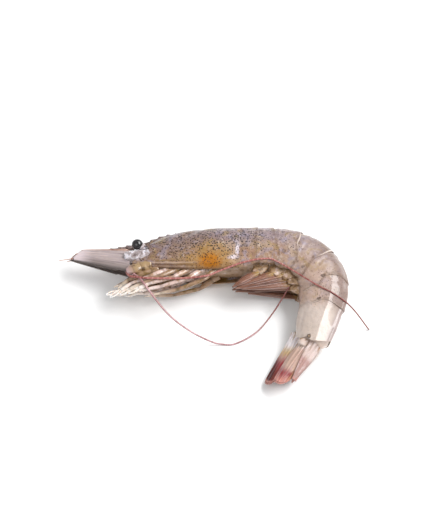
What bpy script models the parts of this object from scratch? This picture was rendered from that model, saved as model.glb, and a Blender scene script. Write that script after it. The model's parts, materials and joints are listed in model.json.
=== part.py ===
"""A whole raw prawn, head on, lying on its right side with its tail curled towards its belly.

Everything is fused into one closed solid, in metres, +Z up. The head points to -X, the back to +Y and
the left flank up, and the prawn rests on small flats of its right flank at Z 0.

Lengths below are in millimetres and angles in degrees; MM turns a length into metres where a mesh is
made. The body follows a spine. A station is the distance along it from the eye socket, at the front
edge of the carapace, towards the tail. A point on the prawn is (station, back, left): so far along the
spine, so far out towards the back (the belly is negative), and so far towards the left flank.
"""

import math

import bmesh
import bpy
from mathutils import Vector
from mathutils.bvhtree import BVHTree

MM = 0.001

# Driving sizes
CARAPACE_LENGTH = 43.0
SEGMENT_LENGTHS = (8.0, 9.0, 8.0, 7.0, 8.5, 17.0)
TELSON_LENGTH = 19.5
ROSTRUM_LENGTH = 19.0
SCALE_LENGTH = 24.0
UROPOD_LENGTH = 24.0
EYE_DIAMETER = 4.6
FEELER_ROOT_DIAMETER = 1.1
FEELER_TIP_DIAMETER = 0.6

# The spine: where the joints are, and how far each one bends the tail towards the belly
JOINTS = [CARAPACE_LENGTH + sum(SEGMENT_LENGTHS[:count]) for count in range(7)]
JOINT_BENDS = (0.0, 13.0, 28.0, 27.0, 26.0, 12.0, 19.0)
JOINT_SPREAD = 6.5
HEAD_HEADING = 1.5
SPINE_START = -42.0
SPINE_END = JOINTS[-1] + 30.0
SPINE_STEP = 0.5
EYE_SOCKET = (-23.0, 4.8)
FOOTPRINT_MIDDLE = (3.1, -16.9)

# Half sizes of the body: station, towards the back, towards the belly, to each side
BODY_PROFILE = (
    (-9.0, 1.8, 2.8, 2.2),
    (-4.0, 3.9, 5.2, 3.9),
    (0.0, 5.6, 7.4, 5.0),
    (6.0, 8.2, 8.8, 6.9),
    (14.0, 10.4, 10.4, 8.7),
    (24.0, 11.6, 11.2, 9.6),
    (36.0, 11.8, 10.8, 9.6),
    (50.0, 11.7, 10.0, 9.3),
    (62.0, 11.6, 9.6, 8.9),
    (73.0, 11.0, 9.4, 8.2),
    (83.0, 10.2, 9.2, 7.5),
    (92.0, 9.4, 8.6, 7.0),
    (100.0, 8.2, 7.4, 6.3),
    (104.5, 4.6, 4.0, 4.8),
)
# How the spine lies: station, height over the table, roll of the back upwards
LIE_PROFILE = (
    (-42.0, 9.3, 0.0),
    (30.0, 9.3, 0.0),
    (48.0, 9.1, 1.0),
    (66.0, 8.8, 8.0),
    (78.0, 8.2, 17.0),
    (90.0, 7.5, 26.0),
    (101.0, 6.9, 34.0),
    (112.0, 6.0, 42.0),
    (130.0, 4.0, 47.0),
)
RING_POINTS = 26
FLANK_FULLNESS = 0.86
BELLY_HALF_ANGLE = 40.0
BELLY_HOLLOW = 0.26
SCALLOP_DEPTH = 0.13
HOOD_REACH = 6.5
HOOD_RUN = 22.0
HOOD_ANGLE = 38.0
STEP_HALF_WIDTH = 0.2
FLARE = 0.032
TUCK = 0.02

SIDES = (("left", 1.0), ("right", -1.0))
SHARPEST_SMOOTH = 40.0


def smooth_step(value):
    """0 below 0, 1 above 1, and an ease between."""
    value = min(1.0, max(0.0, value))
    return value * value * (3.0 - 2.0 * value)


def profile_at(profile, station):
    """The values of a profile at a station, on a smooth curve through its rows."""
    last = len(profile) - 1
    if station <= profile[0][0]:
        return profile[0][1:]
    if station >= profile[last][0]:
        return profile[last][1:]
    row = max(index for index in range(last) if profile[index][0] <= station)
    start, end = profile[row], profile[row + 1]
    before, after = profile[max(row - 1, 0)], profile[min(row + 2, last)]
    span = end[0] - start[0]
    t = (station - start[0]) / span
    values = []
    for column in range(1, len(start)):
        slope_in = (end[column] - before[column]) / (end[0] - before[0]) * span
        slope_out = (after[column] - start[column]) / (after[0] - start[0]) * span
        values.append(
            (2 * t**3 - 3 * t**2 + 1) * start[column]
            + (t**3 - 2 * t**2 + t) * slope_in
            + (3 * t**2 - 2 * t**3) * end[column]
            + (t**3 - t**2) * slope_out
        )
    return tuple(values)


def heading(station):
    """The way the spine runs at a station, as an angle from +X, in radians."""
    turned = sum(
        bend * smooth_step((station - joint) / (2 * JOINT_SPREAD) + 0.5)
        for joint, bend in zip(JOINTS, JOINT_BENDS)
    )
    return math.radians(HEAD_HEADING - turned)


def trace_spine():
    """Spine points in the plane of the table, one for each step from SPINE_START to SPINE_END."""
    count = round((SPINE_END - SPINE_START) / SPINE_STEP)
    points = [Vector((0.0, 0.0))]
    for index in range(count):
        angle = heading(SPINE_START + (index + 0.5) * SPINE_STEP)
        points.append(points[-1] + SPINE_STEP * Vector((math.cos(angle), math.sin(angle))))
    socket = points[round(-SPINE_START / SPINE_STEP)]
    shift = Vector(EYE_SOCKET) - Vector(FOOTPRINT_MIDDLE) - socket
    return [point + shift for point in points]


SPINE = trace_spine()


def spine_frame(station):
    """(point, tailwards, to the back, to the left) at a station."""
    place = (station - SPINE_START) / SPINE_STEP
    index = min(max(int(place), 0), len(SPINE) - 2)
    flat = SPINE[index].lerp(SPINE[index + 1], place - index)
    height, roll = profile_at(LIE_PROFILE, station)
    angle, roll = heading(station), math.radians(roll)
    tailwards = Vector((math.cos(angle), math.sin(angle), 0.0))
    outwards = Vector((-math.sin(angle), math.cos(angle), 0.0))
    up = Vector((0.0, 0.0, 1.0))
    back = math.cos(roll) * outwards + math.sin(roll) * up
    left = math.cos(roll) * up - math.sin(roll) * outwards
    return Vector((flat.x, flat.y, height)), tailwards, back, left


def at(station, back, left):
    """A point of the prawn in millimetres on the table."""
    origin, _, to_back, to_left = spine_frame(station)
    return origin + back * to_back + left * to_left


def piece_of(station):
    """(share of the way along it, whether it is a tail segment) of the shell piece at a station."""
    for joint, length in zip(JOINTS, SEGMENT_LENGTHS):
        if joint <= station < joint + length:
            return (station - joint) / length, True
    return min(1.0, max(0.0, station / CARAPACE_LENGTH)), False


def section_point(station, angle, swell=1.0):
    """A point on the body's skin. Angle 0 is the left flank and 90 degrees the back."""
    to_back, to_belly, to_side = profile_at(BODY_PROFILE, station)
    sine, cosine = math.sin(angle), math.cos(angle)
    off_cheek = (math.degrees(math.atan2(sine, abs(cosine))) + HOOD_ANGLE) / HOOD_ANGLE
    hood = HOOD_REACH * smooth_step(1.0 - abs(off_cheek)) * (1.0 - smooth_step(station / HOOD_RUN))
    share, is_segment = piece_of(station)
    if sine < 0 and is_segment:
        to_belly *= 1.0 - SCALLOP_DEPTH * (1.0 - math.sin(math.pi * share) ** 0.6)
    off_belly = abs(math.atan2(cosine, -sine)) / math.radians(BELLY_HALF_ANGLE)
    hollow = 1.0 - BELLY_HOLLOW * (1.0 - min(1.0, off_belly) ** 2)
    side = math.copysign(abs(cosine) ** FLANK_FULLNESS, cosine) * to_side
    depth = sine * (to_back if sine > 0 else to_belly * hollow)
    place = station - hood if station >= 0.0 else station
    return at(place, depth * swell, side * swell)


def body_stations():
    """(station, swell) of each ring of the body: each shell piece flares to its rear edge and laps
    over the next one, which starts a little smaller."""
    rows = [(-9.0, 0.9), (-7.0, 0.9), (-4.0, 0.9), (-0.5, 0.88), (0.0, 0.96), (0.1, 1.04)]
    rows += [(station, 1.0) for station in (2.5, 6.0, 10.0, 14.0, 19.0, 24.0, 29.0)]
    rows += [(CARAPACE_LENGTH - 2.5, 1.005), (CARAPACE_LENGTH - STEP_HALF_WIDTH, 1.0 + FLARE)]
    for joint, length in zip(JOINTS, SEGMENT_LENGTHS):
        count = 7 if length > 15 else 5
        for index in range(count):
            share = index / (count - 1)
            reach = STEP_HALF_WIDTH + share * (length - 2 * STEP_HALF_WIDTH)
            swell = 1.0 - TUCK + (FLARE + TUCK) * smooth_step(share)
            rows.append((joint + reach, swell))
    rows += [(JOINTS[-1] + STEP_HALF_WIDTH, 0.84), (JOINTS[-1] + 2.0, 0.95), (JOINTS[-1] + 3.4, 0.9)]
    return rows


def new_object(name, mesh, material):
    """An object of the mesh in the pieces collection, with its material."""
    obj = bpy.data.objects.new(name, mesh)
    pieces.objects.link(obj)
    mesh.materials.append(material)
    mesh.shade_smooth()
    return obj


def mesh_from(bm, name):
    """A mesh of the bmesh, in metres, with its faces pointing out."""
    bmesh.ops.scale(bm, vec=(MM, MM, MM), verts=bm.verts)
    bmesh.ops.recalc_face_normals(bm, faces=bm.faces)
    mesh = bpy.data.meshes.new(name)
    bm.to_mesh(mesh)
    bm.free()
    return mesh


def loft(name, rings, material):
    """A closed solid through rings of points that all have the same count."""
    bm = bmesh.new()
    bmesh.ops.create_circle(bm, segments=len(rings[0]), radius=1.0, cap_ends=True)
    bm.verts.ensure_lookup_table()
    edge_ring = list(bm.edges)
    for vert, point in zip(bm.verts, rings[0]):
        vert.co = point
    for ring in rings[1:]:
        grown = bmesh.ops.extrude_edge_only(bm, edges=edge_ring)["geom"]
        new_verts = [item for item in grown if isinstance(item, bmesh.types.BMVert)]
        edge_ring = [
            item
            for item in grown
            if isinstance(item, bmesh.types.BMEdge) and all(v in new_verts for v in item.verts)
        ]
        for vert, point in zip(new_verts, ring):
            vert.co = point
    bmesh.ops.holes_fill(bm, edges=edge_ring, sides=0)
    bmesh.ops.triangulate(bm, faces=[face for face in bm.faces if len(face.verts) > 4])
    return new_object(name, mesh_from(bm, name), material)


def tube(name, points, radii, material, sides_step=1):
    """A round limb along points in millimetres, with its own radius at each."""
    curve = bpy.data.curves.new(name, "CURVE")
    curve.dimensions = "3D"
    curve.bevel_depth = MM
    curve.bevel_resolution = sides_step
    curve.use_fill_caps = True
    spline = curve.splines.new("POLY")
    spline.points.add(len(points) - 1)
    for spline_point, point, radius in zip(spline.points, points, radii):
        spline_point.co = (*(point * MM), 1.0)
        spline_point.radius = radius
    guide = bpy.data.objects.new(name + "_guide", curve)
    pieces.objects.link(guide)
    bpy.context.view_layer.update()
    graph = bpy.context.evaluated_depsgraph_get()
    mesh = bpy.data.meshes.new_from_object(guide.evaluated_get(graph))
    mesh.name = name
    mesh.materials.clear()
    bpy.data.objects.remove(guide)
    bm = bmesh.new()
    bm.from_mesh(mesh)
    bmesh.ops.remove_doubles(bm, verts=bm.verts, dist=0.01 * MM)
    bmesh.ops.recalc_face_normals(bm, faces=bm.faces)
    bm.to_mesh(mesh)
    bm.free()
    return new_object(name, mesh, material)


def blade(name, surface, material, along, across, thickness):
    """A thin plate whose middle surface is surface(u, v), with u from 0 to 1 and v from -1 to 1."""
    bm = bmesh.new()
    bmesh.ops.create_grid(bm, x_segments=along, y_segments=across, size=1.0)
    for vert in bm.verts:
        vert.co = surface((vert.co.x + 1.0) / 2.0, vert.co.y)
    obj = new_object(name, mesh_from(bm, name), material)
    plate = obj.modifiers.new("plate", "SOLIDIFY")
    plate.thickness = thickness * MM
    plate.offset = 0.0
    return obj


def ball(name, middle, diameter, material, rows=6):
    """A ball at a point in millimetres."""
    bm = bmesh.new()
    bmesh.ops.create_uvsphere(bm, u_segments=2 * rows - 2, v_segments=rows, radius=diameter / 2.0)
    bmesh.ops.translate(bm, vec=middle, verts=bm.verts)
    return new_object(name, mesh_from(bm, name), material)


def smooth_route(points, count):
    """Points evenly spread in number along a smooth curve through the given ones."""
    ends = [2 * points[0] - points[1], *points, 2 * points[-1] - points[-2]]
    route = []
    for index in range(count):
        place = index / (count - 1) * (len(points) - 1)
        leg = min(int(place), len(points) - 2)
        t = place - leg
        p0, p1, p2, p3 = ends[leg : leg + 4]
        route.append(
            0.5
            * (
                2 * p1
                + (p2 - p0) * t
                + (2 * p0 - 5 * p1 + 4 * p2 - p3) * t * t
                + (3 * p1 - p0 - 3 * p2 + p3) * t**3
            )
        )
    return route




def make_material(name, colour, roughness):
    """A plain material of one colour."""
    material = bpy.data.materials.new(name)
    material.use_nodes = True
    shader = material.node_tree.nodes["Principled BSDF"]
    shader.inputs["Base Color"].default_value = (*colour, 1.0)
    shader.inputs["Roughness"].default_value = roughness
    shader.inputs["Metallic"].default_value = 0.0
    return material




def make_body():
    """Head, trunk and the six tail segments as one loft."""
    rings = [
        [
            section_point(station, 2 * math.pi * index / RING_POINTS, swell)
            for index in range(RING_POINTS)
        ]
        for station, swell in body_stations()
    ]
    return loft("body", rings, shell)


# Rostrum: its crest starts at ROSTRUM_ROOT, teeth fill its run from the first share to the last
ROSTRUM_ROOT = 16.0
ROSTRUM_TEETH = 9
ROSTRUM_THICKNESS = 1.0
ROSTRUM_RISE = 1.9
FIRST_TOOTH = 0.08
LAST_TOOTH = 0.92
TOOTH_HEIGHT = 0.8
TOOTH_LENGTH = 0.075
ROSTRUM_LOWER_SHARES = (0.92, 0.76, 0.6, 0.44)


def rostrum_top(share):
    """(station, back) of the rostrum's upper edge at a share of the way from its crest to its tip."""
    station = ROSTRUM_ROOT - share * (ROSTRUM_ROOT + ROSTRUM_LENGTH)
    on_back = profile_at(BODY_PROFILE, max(station, -2.0))[0]
    rise = ROSTRUM_RISE * math.sin(math.pi * min(1.0, 1.15 * share))
    return station, on_back + 0.5 + rise - 0.6 * share


def rostrum_outline():
    """Corners of the rostrum and its crest in (station, back), teeth along its upper edge."""
    upper = []
    for tooth in range(ROSTRUM_TEETH):
        start = FIRST_TOOTH + (LAST_TOOTH - FIRST_TOOTH) * tooth / ROSTRUM_TEETH
        upper.append(rostrum_top(start))
        station, height = rostrum_top(start + TOOTH_LENGTH)
        upper.append((station, height + TOOTH_HEIGHT * (1.0 - 0.4 * tooth / ROSTRUM_TEETH)))
    lower = []
    for index, share in enumerate(ROSTRUM_LOWER_SHARES):
        station, height = rostrum_top(share)
        lower.append((station, height - 1.1 - 0.75 * index))
    root = [(4.0, 5.0), (ROSTRUM_ROOT - 2.0, 8.6)]
    return [(ROSTRUM_ROOT, 9.8), *upper, rostrum_top(1.0), *lower, *root]


def make_rostrum():
    """The toothed spine over the eyes, with the crest that it grows out of."""
    bm = bmesh.new()
    corners = [bm.verts.new(at(station, back, 0.0)) for station, back in rostrum_outline()]
    bm.faces.new(corners)
    bmesh.ops.triangulate(bm, faces=bm.faces)
    obj = new_object("rostrum", mesh_from(bm, "rostrum"), shell)
    plate = obj.modifiers.new("plate", "SOLIDIFY")
    plate.thickness = ROSTRUM_THICKNESS * MM
    plate.offset = 0.0
    return obj



# Blades beside the beak: upper and lower edge as (back at the root, back at the tip)
SCALE_ROOT = -7.5
SCALE_TOP = (2.2, 4.6)
SCALE_BOTTOM = (-8.2, -0.3)
SCALE_TIP_START = 0.8
SCALE_TIP_FALL = 4.1
SCALE_OUT = (3.6, 0.9)
SCALE_BOW = 0.8
SCALE_THICKNESS = 0.9
RIGHT_SCALE_RAISE = 0.9
RIGHT_SCALE_AHEAD = 1.2
SCALE_ROOT_RADII = (3.2, 3.0, 2.2)


def between(ends, share):
    """The value a share of the way from the first of two ends to the second."""
    return ends[0] + (ends[1] - ends[0]) * share


def make_scale(side_name, side):
    """The long blade beside the beak: a stiff upper edge, and a lower one that slants to the tip."""
    raised, ahead = (0.0, 0.0) if side > 0 else (RIGHT_SCALE_RAISE, RIGHT_SCALE_AHEAD)

    def surface(u, v):
        tip = max(0.0, u - SCALE_TIP_START) / (1.0 - SCALE_TIP_START)
        top = between(SCALE_TOP, u) - SCALE_TIP_FALL * tip**2
        bottom = between(SCALE_BOTTOM, u) + raised * (1.0 - 0.6 * u)
        left = side * (between(SCALE_OUT, u) - SCALE_BOW * v * v)
        return at(SCALE_ROOT - u * (SCALE_LENGTH + ahead), bottom + (top - bottom) * (1.0 + v) / 2.0, left)

    return blade(f"scale_{side_name}", surface, shell, 8, 4, SCALE_THICKNESS)


def make_scale_root(side_name, side):
    """The swollen joint between the carapace and the blade."""
    raised = 0.0 if side > 0 else RIGHT_SCALE_RAISE
    rows = ((1.0, 2.4), (-3.0, 3.0), (-9.0, 3.0))
    points = [at(station, -1.6 + raised, side * left) for station, left in rows]
    return tube(f"scale_root_{side_name}", points, SCALE_ROOT_RADII, shell)


def make_eye(side_name, side):
    """A ball on its stalk, in the socket beside the rostrum."""
    middle = at(-4.4, 4.0, side * 4.2)
    stalk = [at(0.0, 2.4, side * 2.2), at(-2.0, 3.0, side * 3.0), at(-4.0, 3.7, side * 3.9)]
    tube(f"eye_stalk_{side_name}", stalk, (1.5, 1.4, 1.6), shell)
    return ball(f"eye_{side_name}", middle, EYE_DIAMETER, eye_black)


# Antennules: stem as (station, back, left) with radii, and where each of their two whips ends
ANTENNULE_STEM = ((-3.0, 0.8, 1.5), (-8.0, 0.9, 1.5), (-13.0, 0.9, 1.3), (-17.0, 0.9, 1.1))
ANTENNULE_RADII = (1.7, 1.5, 1.3, 1.0)
ANTENNULE_WHIPS = ((-36.0, -0.5, 0.4), (-29.5, 2.2, 0.9))
RIGHT_WHIPS_SHORTER = 3.0
WHIP_POINTS = 7


def make_antennule(side_name, side):
    """A jointed stem between the blades, with two short whips."""
    stem = [at(station, back, side * left) for station, back, left in ANTENNULE_STEM]
    tube(f"antennule_{side_name}", stem, ANTENNULE_RADII, shell)
    shorter = 0.0 if side > 0 else RIGHT_WHIPS_SHORTER
    radii = [0.5 - 0.03 * index for index in range(WHIP_POINTS)]
    for whip, (station, back, left) in enumerate(ANTENNULE_WHIPS):
        root = stem[-1].lerp(stem[-2], 0.3)
        end = at(station + shorter, back, side * left)
        middle = root.lerp(end, 0.5) + Vector((0.0, 0.4, 0.0))
        route = smooth_route([root, middle, end], WHIP_POINTS)
        tube(f"antennule_whip_{side_name}_{whip}", route, radii, limb, 0)


# Roots of the long feelers, as (station, back), the last row being where the whip starts
PEDUNCLE = ((1.0, -5.4), (-3.0, -6.6), (-6.0, -7.8), (-8.8, -8.8))
PEDUNCLE_RADII = (2.4, 2.3, 2.1, 1.4)
FEELER_ROOT_OUT = 4.0


def make_peduncle(side_name, side):
    """The thick jointed root of a long feeler."""
    points = [at(station, back, side * FEELER_ROOT_OUT) for station, back in PEDUNCLE]
    return tube(f"peduncle_{side_name}", points, PEDUNCLE_RADII, shell)


# Long feelers: corners of each route on the table, ahead of and beside the eye socket
LEFT_FEELER = (
    (-8.8, -9.0),
    (-6.5, -11.4),
    (0.0, -12.8),
    (12.3, -13.3),
    (22.6, -12.4),
    (28.7, -9.8),
    (37.0, -6.9),
    (46.0, -5.2),
    (50.5, -5.7),
    (57.4, -9.7),
    (69.7, -18.6),
    (80.8, -23.6),
    (88.0, -28.0),
)
RIGHT_FEELER = (
    (-8.8, -9.0),
    (-6.4, -9.6),
    (-3.7, -11.8),
    (-2.0, -14.1),
    (0.9, -17.6),
    (8.2, -25.3),
    (16.4, -30.6),
    (24.6, -34.0),
    (29.6, -34.7),
    (34.9, -34.3),
    (43.1, -29.7),
    (49.2, -22.9),
    (53.8, -16.6),
    (56.2, -13.8),
)
FEELER_POINTS = 41
FEELER_FREE_POINTS = 4
# A feeler's middle lies this share of its radius off what it rests on, measured square to the slope
FEELER_CLEAR = 0.55
STEEPEST_REST = 0.3
THREAD_SAG = 0.05
THREAD_PASSES = 160


def surface_tree():
    """A tree of the faces of every piece made so far, to lay a feeler on."""
    bpy.context.view_layer.update()
    graph = bpy.context.evaluated_depsgraph_get()
    everything = bmesh.new()
    for obj in pieces.objects:
        mesh = bpy.data.meshes.new_from_object(obj.evaluated_get(graph))
        everything.from_mesh(mesh)
        bpy.data.meshes.remove(mesh)
    tree = BVHTree.FromBMesh(everything)
    everything.free()
    return tree


def settle(flat_route, radii, root, tree):
    """The route with its heights: it leaves its root freely, then lies on the prawn and on the table."""
    support = [0.0] * FEELER_FREE_POINTS
    for point, radius in list(zip(flat_route, radii))[FEELER_FREE_POINTS:]:
        above = Vector((point.x, point.y, 60.0)) * MM
        hit, normal, _, _ = tree.ray_cast(above, Vector((0.0, 0.0, -1.0)))
        on_table = radius * 0.92
        if hit:
            clear = radius * FEELER_CLEAR / max(abs(normal.z), STEEPEST_REST)
            support.append(max(on_table, hit.z / MM + clear))
        else:
            support.append(on_table)
    heights = [root.z] + support[1:]
    for _ in range(THREAD_PASSES):
        for index in range(1, len(heights) - 1):
            between = (heights[index - 1] + heights[index + 1]) / 2.0 - THREAD_SAG
            heights[index] = max(support[index], between)
    return [Vector((point.x, point.y, height)) for point, height in zip(flat_route, heights)]


def make_feeler(side_name, side, corners, tree):
    """A long whip from the end of its root, over the body or over the table."""
    root = at(*PEDUNCLE[-1], side * FEELER_ROOT_OUT)
    shift = Vector(EYE_SOCKET) - Vector(FOOTPRINT_MIDDLE)
    flat = [Vector((x, y)) + shift for x, y in corners]
    flat[0] = Vector((root.x, root.y))
    route = smooth_route(flat, FEELER_POINTS)
    ends = (FEELER_ROOT_DIAMETER / 2.0, FEELER_TIP_DIAMETER / 2.0)
    taper = [between(ends, index / (FEELER_POINTS - 1)) for index in range(FEELER_POINTS)]
    return tube(f"feeler_{side_name}", settle(route, taper, root, tree), taper, feeler_red, 1)


# Legs: root station, knee, wrist and tip as (station, back, left), and girth; the first is a mouth limb
LEGS = (
    (4.0, (-4.0, -10.2, 3.6), (-8.0, -11.6, 2.8), (-12.5, -14.8, 1.0), 1.0),
    (9.0, (0.5, -11.4, 4.6), (-6.6, -13.6, 3.4), (-15.4, -18.4, 0.6), 0.85),
    (13.5, (4.5, -11.8, 5.2), (-3.4, -14.6, 4.0), (-11.5, -18.0, 1.8), 0.9),
    (18.0, (10.0, -12.4, 5.4), (0.5, -14.6, 4.4), (-8.0, -17.8, 2.6), 0.95),
    (23.0, (16.0, -13.0, 5.4), (5.0, -16.0, 4.2), (-5.0, -17.0, 2.6), 1.0),
    (28.0, (22.0, -13.8, 5.2), (11.5, -17.4, 3.8), (-0.5, -18.8, 1.8), 0.95),
)
LEG_ROOT_BACK = -7.0
LEG_ROOT_LEFT = 3.4
LEG_ROOT_RADIUS = 1.7
LEG_RADII = (1.25, 0.95, 0.85)
RIGHT_LEG_AHEAD = 1.6
RIGHT_LEG_RAISE = 2.0


def make_leg(index, side_name, side, row):
    """A jointed leg, thickest at its first joint, ending in a small claw or a point."""
    root_station, knee, wrist, tip, girth = row
    ahead, raised = (0.0, 0.0) if side > 0 else (RIGHT_LEG_AHEAD, RIGHT_LEG_RAISE)
    root = at(root_station, LEG_ROOT_BACK, side * LEG_ROOT_LEFT)
    stops = [root]
    stops += [at(stop[0] - ahead, stop[1] + raised, side * stop[2]) for stop in (knee, wrist, tip)]
    points, radii = [root], [LEG_ROOT_RADIUS * girth]
    for start, end, thick in zip(stops, stops[1:], LEG_RADII):
        points += [start.lerp(end, 0.3), start.lerp(end, 0.7), end.copy()]
        radii += [thick * girth, 1.08 * thick * girth, 0.86 * thick * girth]
    radii[-2:] = [0.7 * girth, 0.3 * girth]
    return tube(f"leg_{index}_{side_name}", points, radii, limb, 1)


# Swimmerets: one pair under each of the first five tail segments, swept forwards to one meeting place
SWIM_ROOT_BACK = -3.6
SWIM_ROOT_LEFT = 3.6
SWIM_MEETING = (33.2, -15.9)
SWIM_MEETING_LEFT = 2.4
SWIM_STEM_REACH = (7.8, 3.2, 0.9)
SWIM_STEM_RADII = (2.3, 2.2, 1.7)
SWIM_BLADE_LENGTH = 24.0
SWIM_WIDTH = 3.2
RIGHT_SWIM_RAISE = 1.8
SWIM_THICKNESS = 0.8


def make_swimmeret(index, side_name, side):
    """A stout stem and the long blade that it carries."""
    station = JOINTS[index] + 0.4 * SEGMENT_LENGTHS[index]
    root = at(station, SWIM_ROOT_BACK, side * SWIM_ROOT_LEFT)
    meeting = at(*SWIM_MEETING, side * SWIM_MEETING_LEFT) + Vector((0.0, -0.3 * index, 0.0))
    if side < 0:
        meeting.y += RIGHT_SWIM_RAISE
    _, tailwards, to_back, to_left = spine_frame(station)
    down, forwards, outwards = SWIM_STEM_REACH
    knee = root - down * to_back - forwards * tailwards + side * outwards * to_left
    tube(f"swim_stem_{index}_{side_name}", [root, root.lerp(knee, 0.5), knee], SWIM_STEM_RADII, shell)
    run = meeting - knee
    run *= min(1.0, SWIM_BLADE_LENGTH / run.length)
    start = knee - 0.1 * run
    sideways = run.cross(Vector((0.0, 0.0, 1.0))).normalized()

    def surface(u, v):
        half = SWIM_WIDTH / 2.0 * (0.6 + 1.6 * u * (1.0 - u)) * (1.0 - 0.8 * u**3)
        bow = Vector((0.0, 0.0, 0.8 * math.sin(math.pi * u) - 0.5 * v * v))
        return start + 1.1 * run * u + sideways * (v * half) + bow

    return blade(f"swimmeret_{index}_{side_name}", surface, limb, 5, 2, SWIM_THICKNESS)


# Tail fan: its plates lie on a roof with a round ridge, at places measured around it from the ridge
FAN_ROOT = JOINTS[-1] + 0.5
FAN_RIDGE_BACK = 3.2
FAN_RIDGE_RADIUS = 4.2
TELSON_WIDTH = 6.4
TELSON_LIFT = 0.5
TELSON_THICKNESS = 1.8
UROPOD_THICKNESS = 0.9
UROPOD_WIDTH = 8.0
UROPOD_END_SHARE = 0.72
# Side, name, place around the ridge at the root and at the tip, lift off the roof, length share
UROPODS = (
    ("inner_left", 4.0, 3.9, -0.3, 0.95),
    ("outer_left", 8.6, 9.2, -1.0, 0.98),
    ("inner_right", -3.6, -2.0, -0.3, 0.78),
    ("outer_right", -4.6, -2.6, -1.0, 0.8),
)
# Blocks that carry the uropods, as (station past the fan's root, back, left), with radii
UROPOD_STEM = ((-2.5, 0.2, 3.0), (1.5, 0.2, 3.5), (4.5, 0.4, 3.7))
UROPOD_STEM_RADII = (2.5, 2.4, 1.6)


def fan_point(run, around, lift):
    """A point over the fan: so far along it, so far around from the ridge (left positive), lifted off it."""
    angle = min(abs(around) / FAN_RIDGE_RADIUS, math.pi / 2.0)
    below = max(0.0, abs(around) - FAN_RIDGE_RADIUS * math.pi / 2.0)
    left = (FAN_RIDGE_RADIUS + lift) * math.sin(angle)
    back = FAN_RIDGE_BACK - FAN_RIDGE_RADIUS + (FAN_RIDGE_RADIUS + lift) * math.cos(angle) - below
    return at(FAN_ROOT + run, back, math.copysign(left, around))


def make_telson():
    """The middle plate of the fan, which tapers to a point."""

    def surface(u, v):
        half = TELSON_WIDTH / 2.0 * (1.0 - 0.86 * u**1.8)
        return fan_point(u * TELSON_LENGTH, v * half, TELSON_LIFT - 0.4 * u)

    return blade("telson", surface, shell, 8, 4, TELSON_THICKNESS)


def make_uropod(name, root_place, tip_place, lift, length_share):
    """A side plate of the fan: narrow at its root, with a broad end and round corners."""

    def surface(u, v):
        end = max(0.0, u - 0.8) / 0.2
        swell = (0.7 + 0.3 * smooth_step(u / 0.6)) * (1.0 - (1.0 - UROPOD_END_SHARE) * end * end)
        reach = u - 0.07 * abs(v) ** 2.4 * smooth_step((u - 0.5) / 0.5)
        around = between((root_place, tip_place), u) + v * UROPOD_WIDTH / 2.0 * swell
        return fan_point(1.0 + reach * length_share * (UROPOD_LENGTH - 1.0), around, lift - 0.3 * u)

    return blade(f"uropod_{name}", surface, tail_red, 8, 4, UROPOD_THICKNESS)


def make_tail_fan():
    """The telson, an inner and an outer uropod on each side, and the blocks that carry them."""
    make_telson()
    for name, *places in UROPODS:
        make_uropod(name, *places)
    for side_name, side in SIDES:
        stem = [at(FAN_ROOT + station, back, side * left) for station, back, left in UROPOD_STEM]
        tube(f"uropod_stem_{side_name}", stem, UROPOD_STEM_RADII, shell)


TABLE_CUT = (400.0, 400.0, 60.0)


def keep_outer_skin(mesh):
    """Fills sealed pockets and drops loose scraps: only the largest closed skin stays, in triangles."""
    bm = bmesh.new()
    bm.from_mesh(mesh)
    unseen = set(bm.verts)
    skins = []
    while unseen:
        front = [unseen.pop()]
        skin = list(front)
        while front:
            vert = front.pop()
            near = {edge.other_vert(vert) for edge in vert.link_edges} & unseen
            unseen -= near
            front += near
            skin += near
        skins.append(skin)
    skins.sort(key=len)
    for skin in skins[:-1]:
        bmesh.ops.delete(bm, geom=skin, context="VERTS")
    bmesh.ops.triangulate(bm, faces=bm.faces)
    bm.to_mesh(mesh)
    bm.free()


def make_table():
    """The cutter whose top is Z 0, which leaves the flats that the prawn rests on."""
    bpy.ops.mesh.primitive_cube_add(size=1.0, location=(0.0, 0.0, -TABLE_CUT[2] * MM / 2.0))
    table = bpy.context.object
    table.name = "table"
    table.scale = [side * MM for side in TABLE_CUT]
    table.hide_render = True
    table.display_type = "WIRE"
    for home in list(table.users_collection):
        home.objects.unlink(table)
    cutters.objects.link(table)
    return table


def gather_limbs(body):
    """A collection of every piece but the body."""
    limbs = bpy.data.collections.new("limbs")
    bpy.context.scene.collection.children.link(limbs)
    for obj in list(pieces.objects):
        if obj is not body:
            pieces.objects.unlink(obj)
            limbs.objects.link(obj)
    return limbs


def fuse(body):
    """Joins every piece to the body, cuts the flats that it rests on, and clears the pieces away."""
    limbs = gather_limbs(body)
    join = body.modifiers.new("join", "BOOLEAN")
    join.operation = "UNION"
    join.operand_type = "COLLECTION"
    join.collection = limbs
    join.solver = "MANIFOLD"
    join.material_mode = "TRANSFER"
    table = make_table()
    rest = body.modifiers.new("rest", "BOOLEAN")
    rest.operation = "DIFFERENCE"
    rest.object = table
    rest.solver = "MANIFOLD"
    bpy.context.view_layer.update()
    graph = bpy.context.evaluated_depsgraph_get()
    fused = bpy.data.meshes.new_from_object(body.evaluated_get(graph))
    keep_outer_skin(fused)
    body.modifiers.clear()
    body.data = fused
    for obj in [*limbs.objects, table]:
        bpy.data.objects.remove(obj)
    for emptied in (limbs, cutters):
        bpy.data.collections.remove(emptied)
    body.name = "prawn"
    fused.name = "prawn"
    fused.set_sharp_from_angle(angle=math.radians(SHARPEST_SMOOTH))


for old in list(bpy.data.objects):
    bpy.data.objects.remove(old)
pieces = bpy.data.collections.new("raw_prawn")
cutters = bpy.data.collections.new("cutters")
for home in (pieces, cutters):
    bpy.context.scene.collection.children.link(home)

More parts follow.
